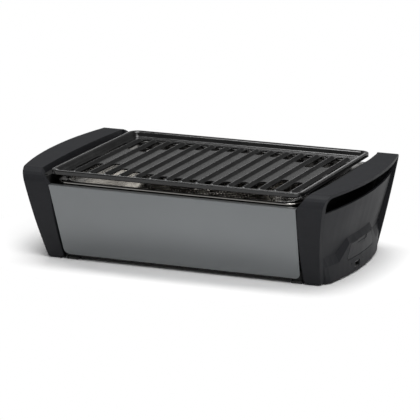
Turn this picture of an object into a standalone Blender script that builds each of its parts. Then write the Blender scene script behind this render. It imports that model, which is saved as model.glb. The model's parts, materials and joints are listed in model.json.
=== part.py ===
"""Table-top charcoal grill with a fan under its steel bowl.

Metres, +Z up. The origin is on the table under the middle of the grill, +X points to
the end with the batteries and -Y to the front. Each sub-part is one closed solid.
"""

import math

import bmesh
import bpy
from mathutils import Matrix, Vector

# Gaps, overruns and facets that the whole grill shares
SEAT_GAP = 0.0003
CUT_OVERRUN = 0.002
UNION_BITE = 0.0006
WELD = 0.00001
FINE_SIDES = 40
ROUND_SIDES = 24
CELL_SIDES = 18
SMALL_SIDES = 12
HOLE_SIDES = 8
CORNER_STEPS = 4
SMOOTH_DEGREES = 35

# Grate: the plate that the food lies on, which sets the length and depth of the grill
GRATE_LENGTH = 0.340
GRATE_DEPTH = 0.2570
GRATE_CORNER = 0.014
GRATE_STAND = 0.0135
GRATE_RIM_FACE = 0.0038
LEG_TOP_DROP = 0.0027
GRATE_RIM_ROUND = 0.0010
GRATE_RIM_CREST = 0.0060
GRATE_RIM_SLOPE = 0.0042
GRATE_FLOOR_DROP = 0.0068
GRATE_SHEET = 0.0020
RIB_COUNT = 15
RIB_END_MARGIN = 0.0232
RIB_SIDE_MARGIN = 0.0225
RIB_END_SLOPE = 0.0060
RIB_WIDTH = 0.0090
RIB_CREST = 0.0020
RIB_DROP = 0.0039
SLOT_MARGIN = 0.0012
SLOT_END_INSET = 0.0020
CLOSED_FLOOR_SHARES = (0.755, 0.74, 0.70, 0.64, 0.55, 0.35, 0.41)
SIDE_SLOT_WIDTH = 0.0052
SIDE_SLOT_INNER = 0.0080
SIDE_SLOT_OUTER_INSET = 0.0280
CORNER_HOLE_GAP = 0.0030
CORNER_HOLE_INSET = 0.0160
CORNER_HOLE_RADIUS = 0.0026
GRATE_LEG_SIDE_INSET = 0.0535
GRATE_LEG_WIDTH = 0.0024
GRATE_LEG_INSET = 0.0080

# Bowl: the polished steel inner bowl
BOWL_SHEET = 0.0010
BOWL_END_INSET = 0.0035
BOWL_PANEL_GAP = 0.0026
BOWL_LIP_CORNER = 0.0220
BOWL_LIP_DROP = 0.0048
BOWL_LIP_RISE = 0.0036
BOWL_END_FLANGE = 0.0140
BOWL_SIDE_FLANGE = 0.0040
BOWL_WALL_CORNER = 0.0200
BOWL_END_TAPER = 0.0160
BOWL_SIDE_TAPER = 0.0180
BOWL_DEPTH = 0.0548
DOME_RADIUS = 0.0300
DOME_SLOPE = 0.0060
DOME_HEIGHT = 0.0090
AIR_HOLE_COUNT = 10
AIR_HOLE_RADIUS = 0.0026

# Basket and fire starter dish, which stand on the bowl's floor
BASKET_RADIUS = 0.0800
BASKET_SHEET = 0.0012
BASKET_GRATE_GAP = 0.0102
BASKET_FLOOR_HEIGHT = 0.0135
BASKET_ROLL = 0.0016
BASKET_HOLE_RADIUS = 0.0038
BASKET_HOLE_ROWS = 3
BASKET_HOLES_ROUND = 20
BASKET_FLOOR_HOLES = 10
BASKET_FLOOR_RING = 0.0500
DISH_DOME_GAP = 0.0045
DISH_WIDTH = 0.0275
DISH_HEIGHT = 0.0095
DISH_SHEET = 0.0010

# Front and back panels: folded sheet with a hem below and a flange above
PANEL_SHEET = 0.0012
PANEL_REACH = 0.0092
PANEL_LEAN = 0.0336
PANEL_TOP_Z = 0.1052
PANEL_BOTTOM_Z = 0.0074
PANEL_FOOT_ROUND = 0.0062
PANEL_FOOT_SHARES = (0.72, 0.45, 0.22, 0.06)
PANEL_FLANGE = 0.0075
PANEL_EDGE_ROUND = 0.0016
PANEL_HEM = 0.0070
PANEL_FOOT_NARROWING = 0.0057
PANEL_CORNER = 0.0085
PANEL_SIDE_GAP = 0.0007

# Handle straps: the wide band of handle, front leg and back leg
HANDLE_CLEARANCE = 0.0107
HANDLE_WIDTH = 0.0354
HANDLE_RISE = 0.0007
HANDLE_PLATE = 0.0040
HANDLE_HALF_SPAN = 0.1260
HANDLE_INNER_BOW = 0.0059
HANDLE_OUTER_BOW = 0.0154
HANDLE_LEAN = 0.225
HANDLE_BACK_FLARE = 0.0011
HANDLE_BACK_LEAN = 0.022
HANDLE_FLANGE_DROP = 0.0085
HANDLE_FLANGE_WALL = 0.0026
LEG_WALL = 0.0070
LEG_PROUD = 0.0009
LEG_SPAN = 0.1000
LEG_LEAN = 0.0125
LEG_CURVE = 0.0177
LEG_KINK_INSET = 0.0032
LEG_FOOT_INSET = 0.0031
LEG_SHOULDER_DROP = 0.0150
LEG_CREASE_BACK = 0.0161
LEG_CORNER_DROP = 0.0035
LEG_CORNER_BACK = 0.0030
LEG_INNER_ROUND = 0.0125
LEG_FLOOR_GAP = 0.0008
LEG_TOE_ROUND = 0.0060
LEG_HEEL_ROUND = 0.0035
LEG_ROUND_SHARES = (0.0, 0.08, 0.3, 0.6, 1.0)

# End covers: inclined panel, stepped shoulder and boss
COVER_WALL = 0.0025
COVER_BOTTOM_Z = 0.0030
HAND_GAP = 0.0202
COVER_TOP_INSET = 0.0097
COVER_BOW = 0.0135
COVER_LEAN = 0.252
COVER_TUCK = 0.0012
FASCIA_INSET = 0.0174
FASCIA_BOW = 0.0206
FASCIA_LEAN = 0.027
BOSS_TOP_Z = 0.0430
BOSS_HALF_TOP = 0.0420
BOSS_HALF_FOOT = 0.0680
WING_TOP_Z = 0.0246
BOSS_SHOULDER_RISE = 0.0075
WING_SHOULDER_RISE = 0.0115
WING_STEP_SHARES = (0.35, 0.72, 0.93, 1.0)
WING_TUCK_SHARES = (0.0, 0.0, 0.3, 1.0)
COVER_ROW_SHARES = (0.0, 0.33, 0.67, 1.0)

# End liners: the wall between the bowl and the hand gap
LINER_CLEARANCE = 0.0015
LINER_WALL = 0.0030
LINER_RETURN = 0.0065
LINER_LEG_GAP = 0.0005
LINER_WINDOW_RISE = 0.0050
LINER_WINDOW_SIDE_ROOM = 0.0260
LINER_SHELF_THICKNESS = 0.0018
LINER_SHELF_SIDE_INSET = 0.0120
LINER_SHELF_END_GAP = 0.0010
SHELF_CURVE_STEPS = 13
LEDGE_WIDTH = 0.0130
LEDGE_THICKNESS = 0.0030
LEDGE_SIDE_INSET = 0.0285
LINER_CORNER_SHARES = (0.0, 0.35, 0.7, 0.92, 1.0)

# Base pan, its inlet grille, the heat shield and the screws that hold it
PAN_BOTTOM_Z = 0.0040
PAN_WALL = 0.0020
PAN_HEIGHT = 0.0120
PAN_SIDE_GAP = 0.0020
PAN_TONGUE_SIDE_INSET = 0.0115
PAN_TONGUE_REACH = 0.0100
PAN_CORNER = 0.0060
INLET_RADIUS = 0.0300
GRILLE_FLANGE = 0.0040
GRILLE_THICKNESS = 0.0020
GRILLE_FLANGE_THICKNESS = 0.0010
GRILLE_SLOT_COUNT = 5
GRILLE_SLOT_WIDTH = 0.0045
GRILLE_SLOT_PITCH = 0.0090
GRILLE_EDGE = 0.0040
SHIELD_SHEET = 0.0010
SHIELD_BOWL_GAP = 0.0070
SHIELD_END_GAP = 0.0217
SHIELD_SIDE_GAP = 0.0055
SHIELD_HOLE_GAP = 0.0020
SHIELD_LEG_END_INSET = 0.0200
SHIELD_LEG_SIDE_INSET = 0.0120
SHIELD_LEG_WIDTH = 0.0140
SHIELD_FOOT = 0.0120
SCREW_HEAD_RADIUS = 0.0035
SCREW_CROWN_RADIUS = 0.0026
SCREW_HEAD = 0.0017
SCREW_RADIUS = 0.0015
SCREW_LENGTH = 0.0070
SCREW_CLEARANCE = 0.0004

# Fan: housing, motor, shaft and impeller
FAN_RADIUS = 0.0460
FAN_WALL = 0.0020
FAN_BOWL_GAP = 0.0015
SPIDER_Z = 0.0120
SPIDER_THICKNESS = 0.0025
SPIDER_WIDTH = 0.0050
SPIDER_ARMS = 3
MOTOR_CUP_WALL = 0.0025
MOTOR_CUP_HEIGHT = 0.0110
MOTOR_LEAD_SHARE = 0.6
MOTOR_RADIUS = 0.0120
SHAFT_RADIUS = 0.0010
SHAFT_CLEARANCE = 0.0003
SHAFT_DEPTH = 0.0120
IMPELLER_GAP = 0.0040
IMPELLER_MOTOR_GAP = 0.0020
IMPELLER_TOP_GAP = 0.0057
IMPELLER_DISC = 0.0012
IMPELLER_HEIGHT = 0.0100
IMPELLER_HUB_RADIUS = 0.0070
BLADE_COUNT = 7
BLADE_THICKNESS = 0.0012
BLADE_TURN_DEGREES = 32
BLADE_LEAN_SHARES = (0, 0.2, 0.4, 0.6, 0.7)

# Battery end: box, cells, contacts and door
CELL_RADIUS = 0.00715
CELL_LENGTH = 0.0490
CELL_NUB_RADIUS = 0.0027
CELL_NUB = 0.0015
CELL_COUNT = 4
CELL_SPACING = 0.0009
BOX_WALL = 0.0020
BOX_DOOR_DROP = 0.0003
BOX_SIDE_ROOM = 0.0004
BOX_BACK_ROOM = 0.0014
BOX_COVER_GAP = 0.0036
CELL_MOUTH_GAP = 0.0016
CONTACT_THICKNESS = 0.0005
CONTACT_MARGIN = 0.0012
CONTACT_HEIGHT_SHARE = 0.8
DOOR_WALL = 0.0020
DOOR_HALF_TOP = 0.0370
DOOR_HALF_FOOT = 0.0480
DOOR_TOP_INSET = 0.0012
DOOR_HEIGHT = 0.0195
DOOR_GAP = 0.0008
DOOR_ROW_SHARES = (0.0, 0.05, 0.14, 0.32, 0.66, 1.0)
DOOR_CORNER = 0.0048
DOOR_CORNER_SHARES = (1.0, 0.48, 0.14, 0.0, 0.0, 0.0)
DOOR_COLUMN_SHARES = (-1.0, -0.7, -0.4, 0.0, 0.4, 0.7, 1.0)
DOOR_AXIS_INSET = 0.0010
DOOR_LUG_Y = 0.0150
DOOR_LUG_WIDTH = 0.0080
DOOR_LUG_DROP = 0.0024
DOOR_LUG_RISE = 0.0030
DOOR_LUG_WALL = 0.0014
DOOR_LUG_GAP = 0.0004
LATCH_HALF_WIDTH = 0.0155
LATCH_DROP = 0.0040
LATCH_DEPTH = 0.0011
LATCH_TAB_HALF_WIDTH = 0.0085
LATCH_TAB_DROP = 0.0070

# USB socket and its board
USB_Y = -0.0150
USB_Z = 0.0111
USB_WIDTH = 0.0144
USB_HEIGHT = 0.0071
USB_WALL = 0.0009
USB_LENGTH = 0.0150
USB_FACE_DROP = 0.0008
USB_CUT_GAP = 0.0006
USB_HOLE_OFFSET = 0.0180
USB_HOLE_RISE = 0.0036
USB_HOLE_RADIUS = 0.0010
USB_BOARD_THICKNESS = 0.0012
USB_BOARD_MARGIN = 0.0035
USB_BOARD_SETBACK = 0.0034
USB_SHELF_THICKNESS = 0.0016
USB_SHELF_LENGTH = 0.0120

# Speed control on the left end, and the board under the bowl
KNOB_Z = 0.0270
KNOB_RADIUS = 0.0120
KNOB_HEIGHT = 0.0105
KNOB_STANDOFF = 0.0008
KNOB_EDGE = 0.0012
KNOB_RIDGE_WIDTH = 0.0030
KNOB_RIDGE_HEIGHT = 0.0020
STEM_RADIUS = 0.0030
STEM_LENGTH = 0.0130
STEM_CLEARANCE = 0.0004
CONTROL_WIDTH = 0.0160
CONTROL_DEPTH = 0.0110
CONTROL_GAP = 0.0010
BOARD_END_GAP = 0.0015
BOARD_LENGTH = 0.0440
BOARD_WIDTH = 0.0600
BOARD_THICKNESS = 0.0016
BOARD_POST_RADIUS = 0.0025
BOARD_POST_HEIGHT = 0.0080
BOARD_POST_INSET = 0.0050
CAPACITOR_RADIUS = 0.0045
CAPACITOR_HEIGHT = 0.0110
CAPACITOR_PLACE_SHARES = (-0.33, 0, 0.33)
LEAD_RADIUS = 0.0011
LEAD_HOLE_RADIUS = 0.0022
LEAD_END_GAP = 0.0004
LEAD_STRAIGHT = 0.0040
LEAD_FAN_GAP = 0.0150
LEAD_FLOOR_GAP = 0.0035

# Foot pads under the pan's corners
PAD_END_INSET = 0.0087
PAD_SIDE_INSET = 0.0040
PAD_LENGTH = 0.0160
PAD_WIDTH = 0.0120
PAD_ROUND = 0.0008

# Places that follow from the sizes above, upwards
PAN_FLOOR_Z = PAN_BOTTOM_Z + PAN_WALL
PAN_SEAT_Z = PAN_FLOOR_Z + SEAT_GAP
PAN_TOP_Z = PAN_BOTTOM_Z + PAN_HEIGHT
BOWL_TOP_Z = PANEL_TOP_Z + BOWL_LIP_RISE
BOWL_UNDER_Z = BOWL_TOP_Z - BOWL_DEPTH
BOWL_FLOOR_Z = BOWL_UNDER_Z + BOWL_SHEET
GRATE_TOP_Z = BOWL_TOP_Z + GRATE_STAND
GRATE_FLOOR_Z = GRATE_TOP_Z - GRATE_FLOOR_DROP
HANDLE_TOP_Z = GRATE_TOP_Z + HANDLE_RISE
LEG_TOP_Z = HANDLE_TOP_Z - LEG_TOP_DROP
LINER_TOP_Z = HANDLE_TOP_Z - HANDLE_FLANGE_DROP - SEAT_GAP
LEDGE_TOP_Z = BOWL_TOP_Z - BOWL_LIP_DROP - SEAT_GAP
COVER_TOP_Z = HANDLE_TOP_Z - HANDLE_PLATE - HAND_GAP
BASKET_BOTTOM_Z = BOWL_FLOOR_Z + SEAT_GAP
BASKET_TOP_Z = GRATE_FLOOR_Z - GRATE_SHEET - BASKET_GRATE_GAP
SHIELD_Z = BOWL_UNDER_Z - SHIELD_BOWL_GAP
FAN_TOP_Z = BOWL_UNDER_Z - FAN_BOWL_GAP
IMPELLER_Z = FAN_TOP_Z - IMPELLER_TOP_GAP - IMPELLER_HEIGHT
MOTOR_TOP_Z = IMPELLER_Z - IMPELLER_MOTOR_GAP
CUP_FLOOR_Z = SPIDER_Z + SPIDER_THICKNESS
MOTOR_BOTTOM_Z = CUP_FLOOR_Z + SEAT_GAP
DOOR_TOP_Z = BOSS_TOP_Z - DOOR_TOP_INSET
DOOR_BOTTOM_Z = DOOR_TOP_Z - DOOR_HEIGHT
BOX_BOTTOM_Z = DOOR_BOTTOM_Z - BOX_DOOR_DROP
CELL_Z = BOX_BOTTOM_Z + BOX_WALL + SEAT_GAP + CELL_RADIUS
BOX_TOP_Z = CELL_Z + CELL_RADIUS + BOX_SIDE_ROOM + BOX_WALL
BOARD_Z = PAN_FLOOR_Z + BOARD_POST_HEIGHT + SEAT_GAP
LEAD_FLOOR_Z = PAN_FLOOR_Z + LEAD_FLOOR_GAP

# Places that follow along the length
HALF_LENGTH = GRATE_LENGTH / 2
RIB_FIELD = GRATE_LENGTH - 2 * RIB_END_MARGIN
HANDLE_INNER_X = HALF_LENGTH + HANDLE_CLEARANCE + HANDLE_INNER_BOW
HANDLE_REACH = HANDLE_INNER_X + HANDLE_WIDTH
KINK_X = HALF_LENGTH - LEG_KINK_INSET
LINER_X = HALF_LENGTH + LINER_CLEARANCE
COVER_REACH = HANDLE_REACH - COVER_TOP_INSET
FASCIA_REACH = HANDLE_REACH - FASCIA_INSET
PAN_HALF_LENGTH = KINK_X - LEG_FOOT_INSET - PAN_SIDE_GAP
PAD_X = PAN_HALF_LENGTH - PAD_END_INSET
SHIELD_HALF_LENGTH = PAN_HALF_LENGTH - SHIELD_END_GAP
SHIELD_LEG_X = SHIELD_HALF_LENGTH - SHIELD_LEG_END_INSET
DOOR_FOOT_X = FASCIA_REACH - FASCIA_LEAN * (BOSS_TOP_Z - DOOR_BOTTOM_Z)
DOOR_AXIS_X = DOOR_FOOT_X - DOOR_AXIS_INSET
DOOR_AXIS_Z = DOOR_BOTTOM_Z + DOOR_AXIS_INSET
BOX_END_X = DOOR_FOOT_X - COVER_WALL - BOX_COVER_GAP
CELL_END_X = BOX_END_X - CELL_MOUTH_GAP
BOX_BACK_X = CELL_END_X - CELL_NUB - CELL_LENGTH - BOX_BACK_ROOM
BOARD_X = -(LINER_X - BOARD_END_GAP - BOARD_LENGTH / 2)

# Places that follow along the depth
HALF_DEPTH = GRATE_DEPTH / 2
RIB_LENGTH = GRATE_DEPTH - 2 * RIB_SIDE_MARGIN
PANEL_TOP_Y = HALF_DEPTH + PANEL_REACH
PANEL_BOTTOM_Y = PANEL_TOP_Y - PANEL_LEAN
PANEL_SLOPE = PANEL_LEAN / (PANEL_TOP_Z - PANEL_BOTTOM_Z)
LEG_TOP_Y = PANEL_TOP_Y + LEG_PROUD
BOWL_LIP_Y = PANEL_TOP_Y - PANEL_EDGE_ROUND - PANEL_FLANGE - BOWL_PANEL_GAP
PAN_HALF_DEPTH = PANEL_BOTTOM_Y - PANEL_SHEET * math.sqrt(1 + PANEL_SLOPE**2) - SEAT_GAP - PANEL_HEM
PAN_TONGUE_HALF_WIDTH = PAN_HALF_DEPTH - PAN_TONGUE_SIDE_INSET
PAD_Y = PAN_HALF_DEPTH - PAD_SIDE_INSET
SHIELD_HALF_DEPTH = PAN_HALF_DEPTH - SHIELD_SIDE_GAP
SHIELD_LEG_Y = SHIELD_HALF_DEPTH - SHIELD_LEG_SIDE_INSET
CELL_PITCH = 2 * CELL_RADIUS + CELL_SPACING
BOX_HALF_INSIDE = CELL_PITCH * CELL_COUNT / 2 + BOX_SIDE_ROOM
LINER_WINDOW_HALF = BOX_HALF_INSIDE + BOX_WALL + LINER_WINDOW_SIDE_ROOM
LINER_WINDOW_TOP_Z = BOX_TOP_Z + LINER_WINDOW_RISE
LEDGE_HALF_LENGTH = HALF_DEPTH - LEDGE_SIDE_INSET

# Radii that follow
DOME_TOP_RADIUS = DOME_RADIUS - DOME_SLOPE
DISH_INNER_RADIUS = DOME_RADIUS + DISH_DOME_GAP
DISH_OUTER_RADIUS = DISH_INNER_RADIUS + DISH_WIDTH
IMPELLER_RADIUS = FAN_RADIUS - FAN_WALL - IMPELLER_GAP


def clear_scene():
    """Remove the objects that are already there."""
    for obj in list(bpy.data.objects):
        bpy.data.objects.remove(obj, do_unlink=True)


def collection(name):
    """A new collection of the scene."""
    made = bpy.data.collections.new(name)
    bpy.context.scene.collection.children.link(made)
    return made


clear_scene()
PARTS = collection("charcoal_grill")
CUTTERS = collection("cutters")


def material(name, colour, roughness, metallic):
    """A plain surface with the part's colour."""
    made = bpy.data.materials.new(name)
    made.use_nodes = True
    shader = made.node_tree.nodes["Principled BSDF"]
    shader.inputs["Base Color"].default_value = (*colour, 1)
    shader.inputs["Roughness"].default_value = roughness
    shader.inputs["Metallic"].default_value = metallic
    return made


PANEL_GREY = material("panel_grey_paint", (0.20, 0.21, 0.21), 0.35, 0.6)
ANTHRACITE = material("anthracite_plastic", (0.045, 0.046, 0.052), 0.45, 0.0)
DARK_PLASTIC = material("dark_plastic", (0.02, 0.02, 0.022), 0.55, 0.0)
POLISHED_STEEL = material("polished_steel", (0.62, 0.60, 0.57), 0.22, 1.0)
ENAMEL = material("black_enamel", (0.015, 0.015, 0.016), 0.15, 0.0)
ZINC_STEEL = material("zinc_steel", (0.55, 0.56, 0.56), 0.40, 1.0)
RUBBER = material("black_rubber", (0.015, 0.015, 0.015), 0.85, 0.0)
BRASS = material("contact_brass", (0.70, 0.55, 0.25), 0.30, 1.0)
CELL_WRAP = material("cell_wrap", (0.10, 0.11, 0.12), 0.35, 0.3)
BOARD_GREEN = material("board_green", (0.03, 0.16, 0.07), 0.50, 0.0)
LEAD_RED = material("lead_sleeve", (0.35, 0.03, 0.03), 0.50, 0.0)


def new_object(name, bm):
    """Make a bmesh an object of the parts collection."""
    mesh = bpy.data.meshes.new(name)
    bm.to_mesh(mesh)
    bm.free()
    obj = bpy.data.objects.new(name, mesh)
    PARTS.objects.link(obj)
    return obj


def settle(obj):
    """Replace an object by the closed mesh that its modifiers or curve make."""
    bpy.context.view_layer.update()
    graph = bpy.context.evaluated_depsgraph_get()
    mesh = bpy.data.meshes.new_from_object(obj.evaluated_get(graph))
    bm = bmesh.new()
    bm.from_mesh(mesh)
    bmesh.ops.remove_doubles(bm, verts=bm.verts, dist=WELD)
    bmesh.ops.recalc_face_normals(bm, faces=bm.faces)
    bm.to_mesh(mesh)
    bm.free()
    name = obj.name
    place = obj.matrix_world.copy()
    bpy.data.objects.remove(obj, do_unlink=True)
    solid = bpy.data.objects.new(name, mesh)
    solid.name = name
    solid.matrix_world = place
    PARTS.objects.link(solid)
    return solid


def combine(target, tools, operation):
    """Cut, join or trim a solid with other solids, which are used up."""
    for tool in tools:
        PARTS.objects.unlink(tool)
        CUTTERS.objects.link(tool)
        tool.hide_render = True
        tool.display_type = "WIRE"
        change = target.modifiers.new(operation.lower(), "BOOLEAN")
        change.operation = operation
        change.solver = "EXACT"
        change.object = tool
    solid = settle(target)
    for tool in tools:
        bpy.data.objects.remove(tool, do_unlink=True)
    return solid


def cut(target, *tools):
    """Take solids out of a solid."""
    return combine(target, tools, "DIFFERENCE")


def join(target, *tools):
    """Unite solids that overlap."""
    return combine(target, tools, "UNION")


def trim(target, *tools):
    """Keep what a solid shares with others."""
    return combine(target, tools, "INTERSECT")


def finish(obj, node, surface):
    """Name a solid, shade it and give it its own surface."""
    obj.name = node
    obj.data.name = node
    obj.data.materials.clear()
    own = surface.copy()
    own.name = node + "_" + surface.name
    obj.data.materials.append(own)
    obj.data.shade_smooth()
    obj.data.set_sharp_from_angle(angle=math.radians(SMOOTH_DEGREES))
    return obj


def box(name, low, high):
    """A block between two corners."""
    bm = bmesh.new()
    low = Vector(low)
    high = Vector(high)
    scale = Matrix.Diagonal((*(high - low), 1))
    bmesh.ops.create_cube(bm, size=1, matrix=Matrix.Translation((low + high) / 2) @ scale)
    return new_object(name, bm)


def rods(name, radius, lines, sides):
    """Closed cylinders along lines, which don't touch, as one cutter or one solid."""
    bm = bmesh.new()
    for start, end in lines:
        start = Vector(start)
        end = Vector(end)
        turn = (end - start).to_track_quat("Z", "Y").to_matrix().to_4x4()
        bmesh.ops.create_cone(
            bm,
            cap_ends=True,
            segments=sides,
            radius1=radius,
            radius2=radius,
            depth=(end - start).length,
            matrix=Matrix.Translation((start + end) / 2) @ turn,
        )
    return new_object(name, bm)


def rod(name, radius, start, end, sides):
    """One closed cylinder."""
    return rods(name, radius, [(start, end)], sides)


def blocks(name, corners):
    """Blocks between pairs of corners, which don't touch, as one cutter."""
    bm = bmesh.new()
    for low, high in corners:
        low = Vector(low)
        high = Vector(high)
        scale = Matrix.Diagonal((*(high - low), 1))
        bmesh.ops.create_cube(bm, size=1, matrix=Matrix.Translation((low + high) / 2) @ scale)
    return new_object(name, bm)


UPRIGHT = {
    "Z": Matrix.Identity(4),
    "X": Matrix(((0, 0, 1, 0), (1, 0, 0, 0), (0, 1, 0, 0), (0, 0, 0, 1))),
}


def prism(name, outline, low, high, axis="Z"):
    """A flat outline, filled, that runs from low to high along Z or X."""
    curve = bpy.data.curves.new(name, "CURVE")
    curve.dimensions = "2D"
    curve.fill_mode = "BOTH"
    curve.extrude = (high - low) / 2
    spline = curve.splines.new("POLY")
    spline.points.add(len(outline) - 1)
    for point, (across, up) in zip(spline.points, outline):
        point.co = (across, up, 0, 1)
    spline.use_cyclic_u = True
    flat = bpy.data.objects.new(name, curve)
    PARTS.objects.link(flat)
    solid = settle(flat)
    solid.data.transform(UPRIGHT[axis] @ Matrix.Translation((0, 0, (low + high) / 2)))
    return solid


def turned(name, profile, sides, closed=False):
    """A profile of radius and height points, turned round the Z axis."""
    bm = bmesh.new()
    points = [bm.verts.new((radius, 0, height)) for radius, height in profile]
    for first, second in zip(points, points[1:]):
        bm.edges.new((first, second))
    if closed:
        bm.edges.new((points[-1], points[0]))
    obj = new_object(name, bm)
    screw = obj.modifiers.new("turn", "SCREW")
    screw.steps = sides
    screw.render_steps = sides
    screw.use_merge_vertices = True
    screw.merge_threshold = WELD
    return settle(obj)


def sheet(name, columns, rows, place, facing):
    """An open surface whose points are placed by column and row, facing a direction."""
    bm = bmesh.new()
    made = bmesh.ops.create_grid(bm, x_segments=columns - 1, y_segments=rows - 1, size=1)
    for vert in made["verts"]:
        column = round((vert.co.x + 1) / 2 * (columns - 1))
        row = round((vert.co.y + 1) / 2 * (rows - 1))
        vert.co = place(column, row)
    bmesh.ops.remove_doubles(bm, verts=bm.verts, dist=WELD)
    bm.normal_update()
    looks = sum((face.normal * face.calc_area() for face in bm.faces), Vector())
    if looks.dot(Vector(facing)) < 0:
        bmesh.ops.reverse_faces(bm, faces=bm.faces)
    return new_object(name, bm)


def thicken(obj, wall):
    """Give a surface its wall, on the side that it faces away from."""
    shell = obj.modifiers.new("wall", "SOLIDIFY")
    shell.thickness = wall
    shell.offset = -1
    shell.use_even_offset = True
    return settle(obj)


def soften(obj, width, segments=1):
    """Chamfer or round the sharp edges of a solid."""
    edge = obj.modifiers.new("edge", "BEVEL")
    edge.width = width
    edge.segments = segments
    edge.limit_method = "ANGLE"
    edge.angle_limit = math.radians(SMOOTH_DEGREES)
    return settle(obj)


def rounded_rectangle(half_x, half_y, corner):
    """The points of a rounded rectangle, anticlockwise."""
    points = []
    for quarter in range(4):
        sign_x = (1, -1, -1, 1)[quarter]
        sign_y = (1, 1, -1, -1)[quarter]
        for step in range(CORNER_STEPS + 1):
            angle = math.radians(90) * (quarter + step / CORNER_STEPS)
            x = sign_x * (half_x - corner) + corner * math.cos(angle)
            y = sign_y * (half_y - corner) + corner * math.sin(angle)
            points.append((x, y))
    return points


def ring_points(radius):
    """Points of a circle that pair with those of a rounded rectangle."""
    return rounded_rectangle(radius, radius, radius)


def curve_points(start, bend, end, steps):
    """Points of a curve from start to end that bends towards a third point."""
    points = []
    for step in range(steps + 1):
        share = step / steps
        near = (1 - share) ** 2
        middle = 2 * share * (1 - share)
        far = share**2
        points.append(tuple(near * a + middle * b + far * c for a, b, c in zip(start, bend, end)))
    return points


def mirrored(obj, name):
    """A mirrored copy of a solid for the other end."""
    mesh = obj.data.copy()
    mesh.transform(Matrix.Diagonal((-1, 1, 1, 1)))
    mesh.flip_normals()
    copy = bpy.data.objects.new(name, mesh)
    PARTS.objects.link(copy)
    return copy


def pivot(name, point, children):
    """An empty on a joint's axis that carries the pieces which move about it."""
    empty = bpy.data.objects.new(name, None)
    empty.location = point
    PARTS.objects.link(empty)
    for child in children:
        child.parent = empty
        child.matrix_parent_inverse = Matrix.Translation(point).inverted()
    return empty


# The strap's faces


def leg_face_y(z):
    """How far forward the face of a leg stands at a height."""
    drop = (LEG_TOP_Z - z) / LEG_SPAN
    return LEG_TOP_Y - LEG_LEAN * drop - LEG_CURVE * drop**2


def leg_back_y(z):
    """The inner face of a leg at a height."""
    return leg_face_y(z) - LEG_WALL


def strap_inside_y(z):
    """The inner face of a leg, with its rounding under the handle."""
    room = HANDLE_TOP_Z - HANDLE_PLATE - z
    turn = 1 - math.sqrt(min(max(room, 0) / LEG_INNER_ROUND, 1))
    return leg_back_y(z) - LEG_INNER_ROUND * turn**2


def corner_inset(z, corner):
    """How far a rounded corner at a leg's foot draws its edge in at a height."""
    share = min(max((z - LEG_FLOOR_GAP) / corner, 0), 1)
    return corner * (1 - math.sqrt(1 - (1 - share) ** 2))


def strap_outer_x(y, z):
    """The outer edge of the strap, which leans less towards the back leg."""
    bow = HANDLE_OUTER_BOW * (y / HANDLE_HALF_SPAN) ** 2
    drop = max(LEG_TOP_Z - z, 0)
    flare = (HANDLE_BACK_FLARE + HANDLE_BACK_LEAN * drop) * max(y, 0) / HANDLE_HALF_SPAN
    return HANDLE_REACH - bow - HANDLE_LEAN * drop + flare - corner_inset(z, LEG_HEEL_ROUND)


def handle_inner_x(y):
    """The inner edge of the handle seen from above."""
    return HANDLE_INNER_X - HANDLE_INNER_BOW * (y / HANDLE_HALF_SPAN) ** 2


def leg_inner_x(z):
    """The inner edge of a leg, with its kink where the panel starts."""
    if z <= PANEL_TOP_Z:
        lean = LEG_FOOT_INSET * (PANEL_TOP_Z - z) / PANEL_TOP_Z
        return KINK_X - lean + corner_inset(z, LEG_TOE_ROUND)
    share = (z - PANEL_TOP_Z) / (HANDLE_TOP_Z - PANEL_TOP_Z)
    return KINK_X + share * (HALF_LENGTH + HANDLE_CLEARANCE - KINK_X)


def side_block(name, ys, zs, inner_x, outer_x):
    """A block between two curved faces, each given as x for a y and a z."""
    bm = bmesh.new()
    sides = []
    for face_x in (inner_x, outer_x):
        rows = []
        for z in zs:
            rows.append([bm.verts.new((face_x(y, z), y, z)) for y in ys])
        for lower, upper in zip(rows, rows[1:]):
            for column in range(len(ys) - 1):
                bm.faces.new((lower[column], lower[column + 1], upper[column + 1], upper[column]))
        sides.append(rows)
    edges = [edge for edge in bm.edges if edge.is_boundary]
    bmesh.ops.bridge_loops(bm, edges=edges)
    bmesh.ops.recalc_face_normals(bm, faces=bm.faces)
    return new_object(name, bm)


def spread(low, high, steps):
    """Evenly spaced values."""
    return [low + (high - low) * step / steps for step in range(steps + 1)]


def strap_outline():
    """The side view of handle and legs, as one loop of y and z."""
    shoulder_z = HANDLE_TOP_Z - LEG_SHOULDER_DROP
    crease_y = LEG_TOP_Y - LEG_CREASE_BACK
    outer = [(leg_face_y(z), z) for z in spread(LEG_FLOOR_GAP, shoulder_z, 8)]
    bend = (LEG_TOP_Y - LEG_CORNER_BACK, HANDLE_TOP_Z - LEG_CORNER_DROP)
    outer += curve_points(outer[-1], bend, (crease_y, HANDLE_TOP_Z), 5)[1:]
    under_z = HANDLE_TOP_Z - HANDLE_PLATE
    inner_z = under_z - LEG_INNER_ROUND
    corner = (leg_back_y(inner_z), inner_z)
    start = (leg_back_y(under_z) - LEG_INNER_ROUND, under_z)
    inner = curve_points(start, (leg_back_y(under_z), under_z), corner, 4)
    inner += [(leg_back_y(z), z) for z in spread(inner_z, LEG_FLOOR_GAP, 7)][1:]
    outer_loop = outer + [(-y, z) for y, z in reversed(outer)]
    inner_loop = [(-y, z) for y, z in reversed(inner)] + inner
    return outer_loop + inner_loop


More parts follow.
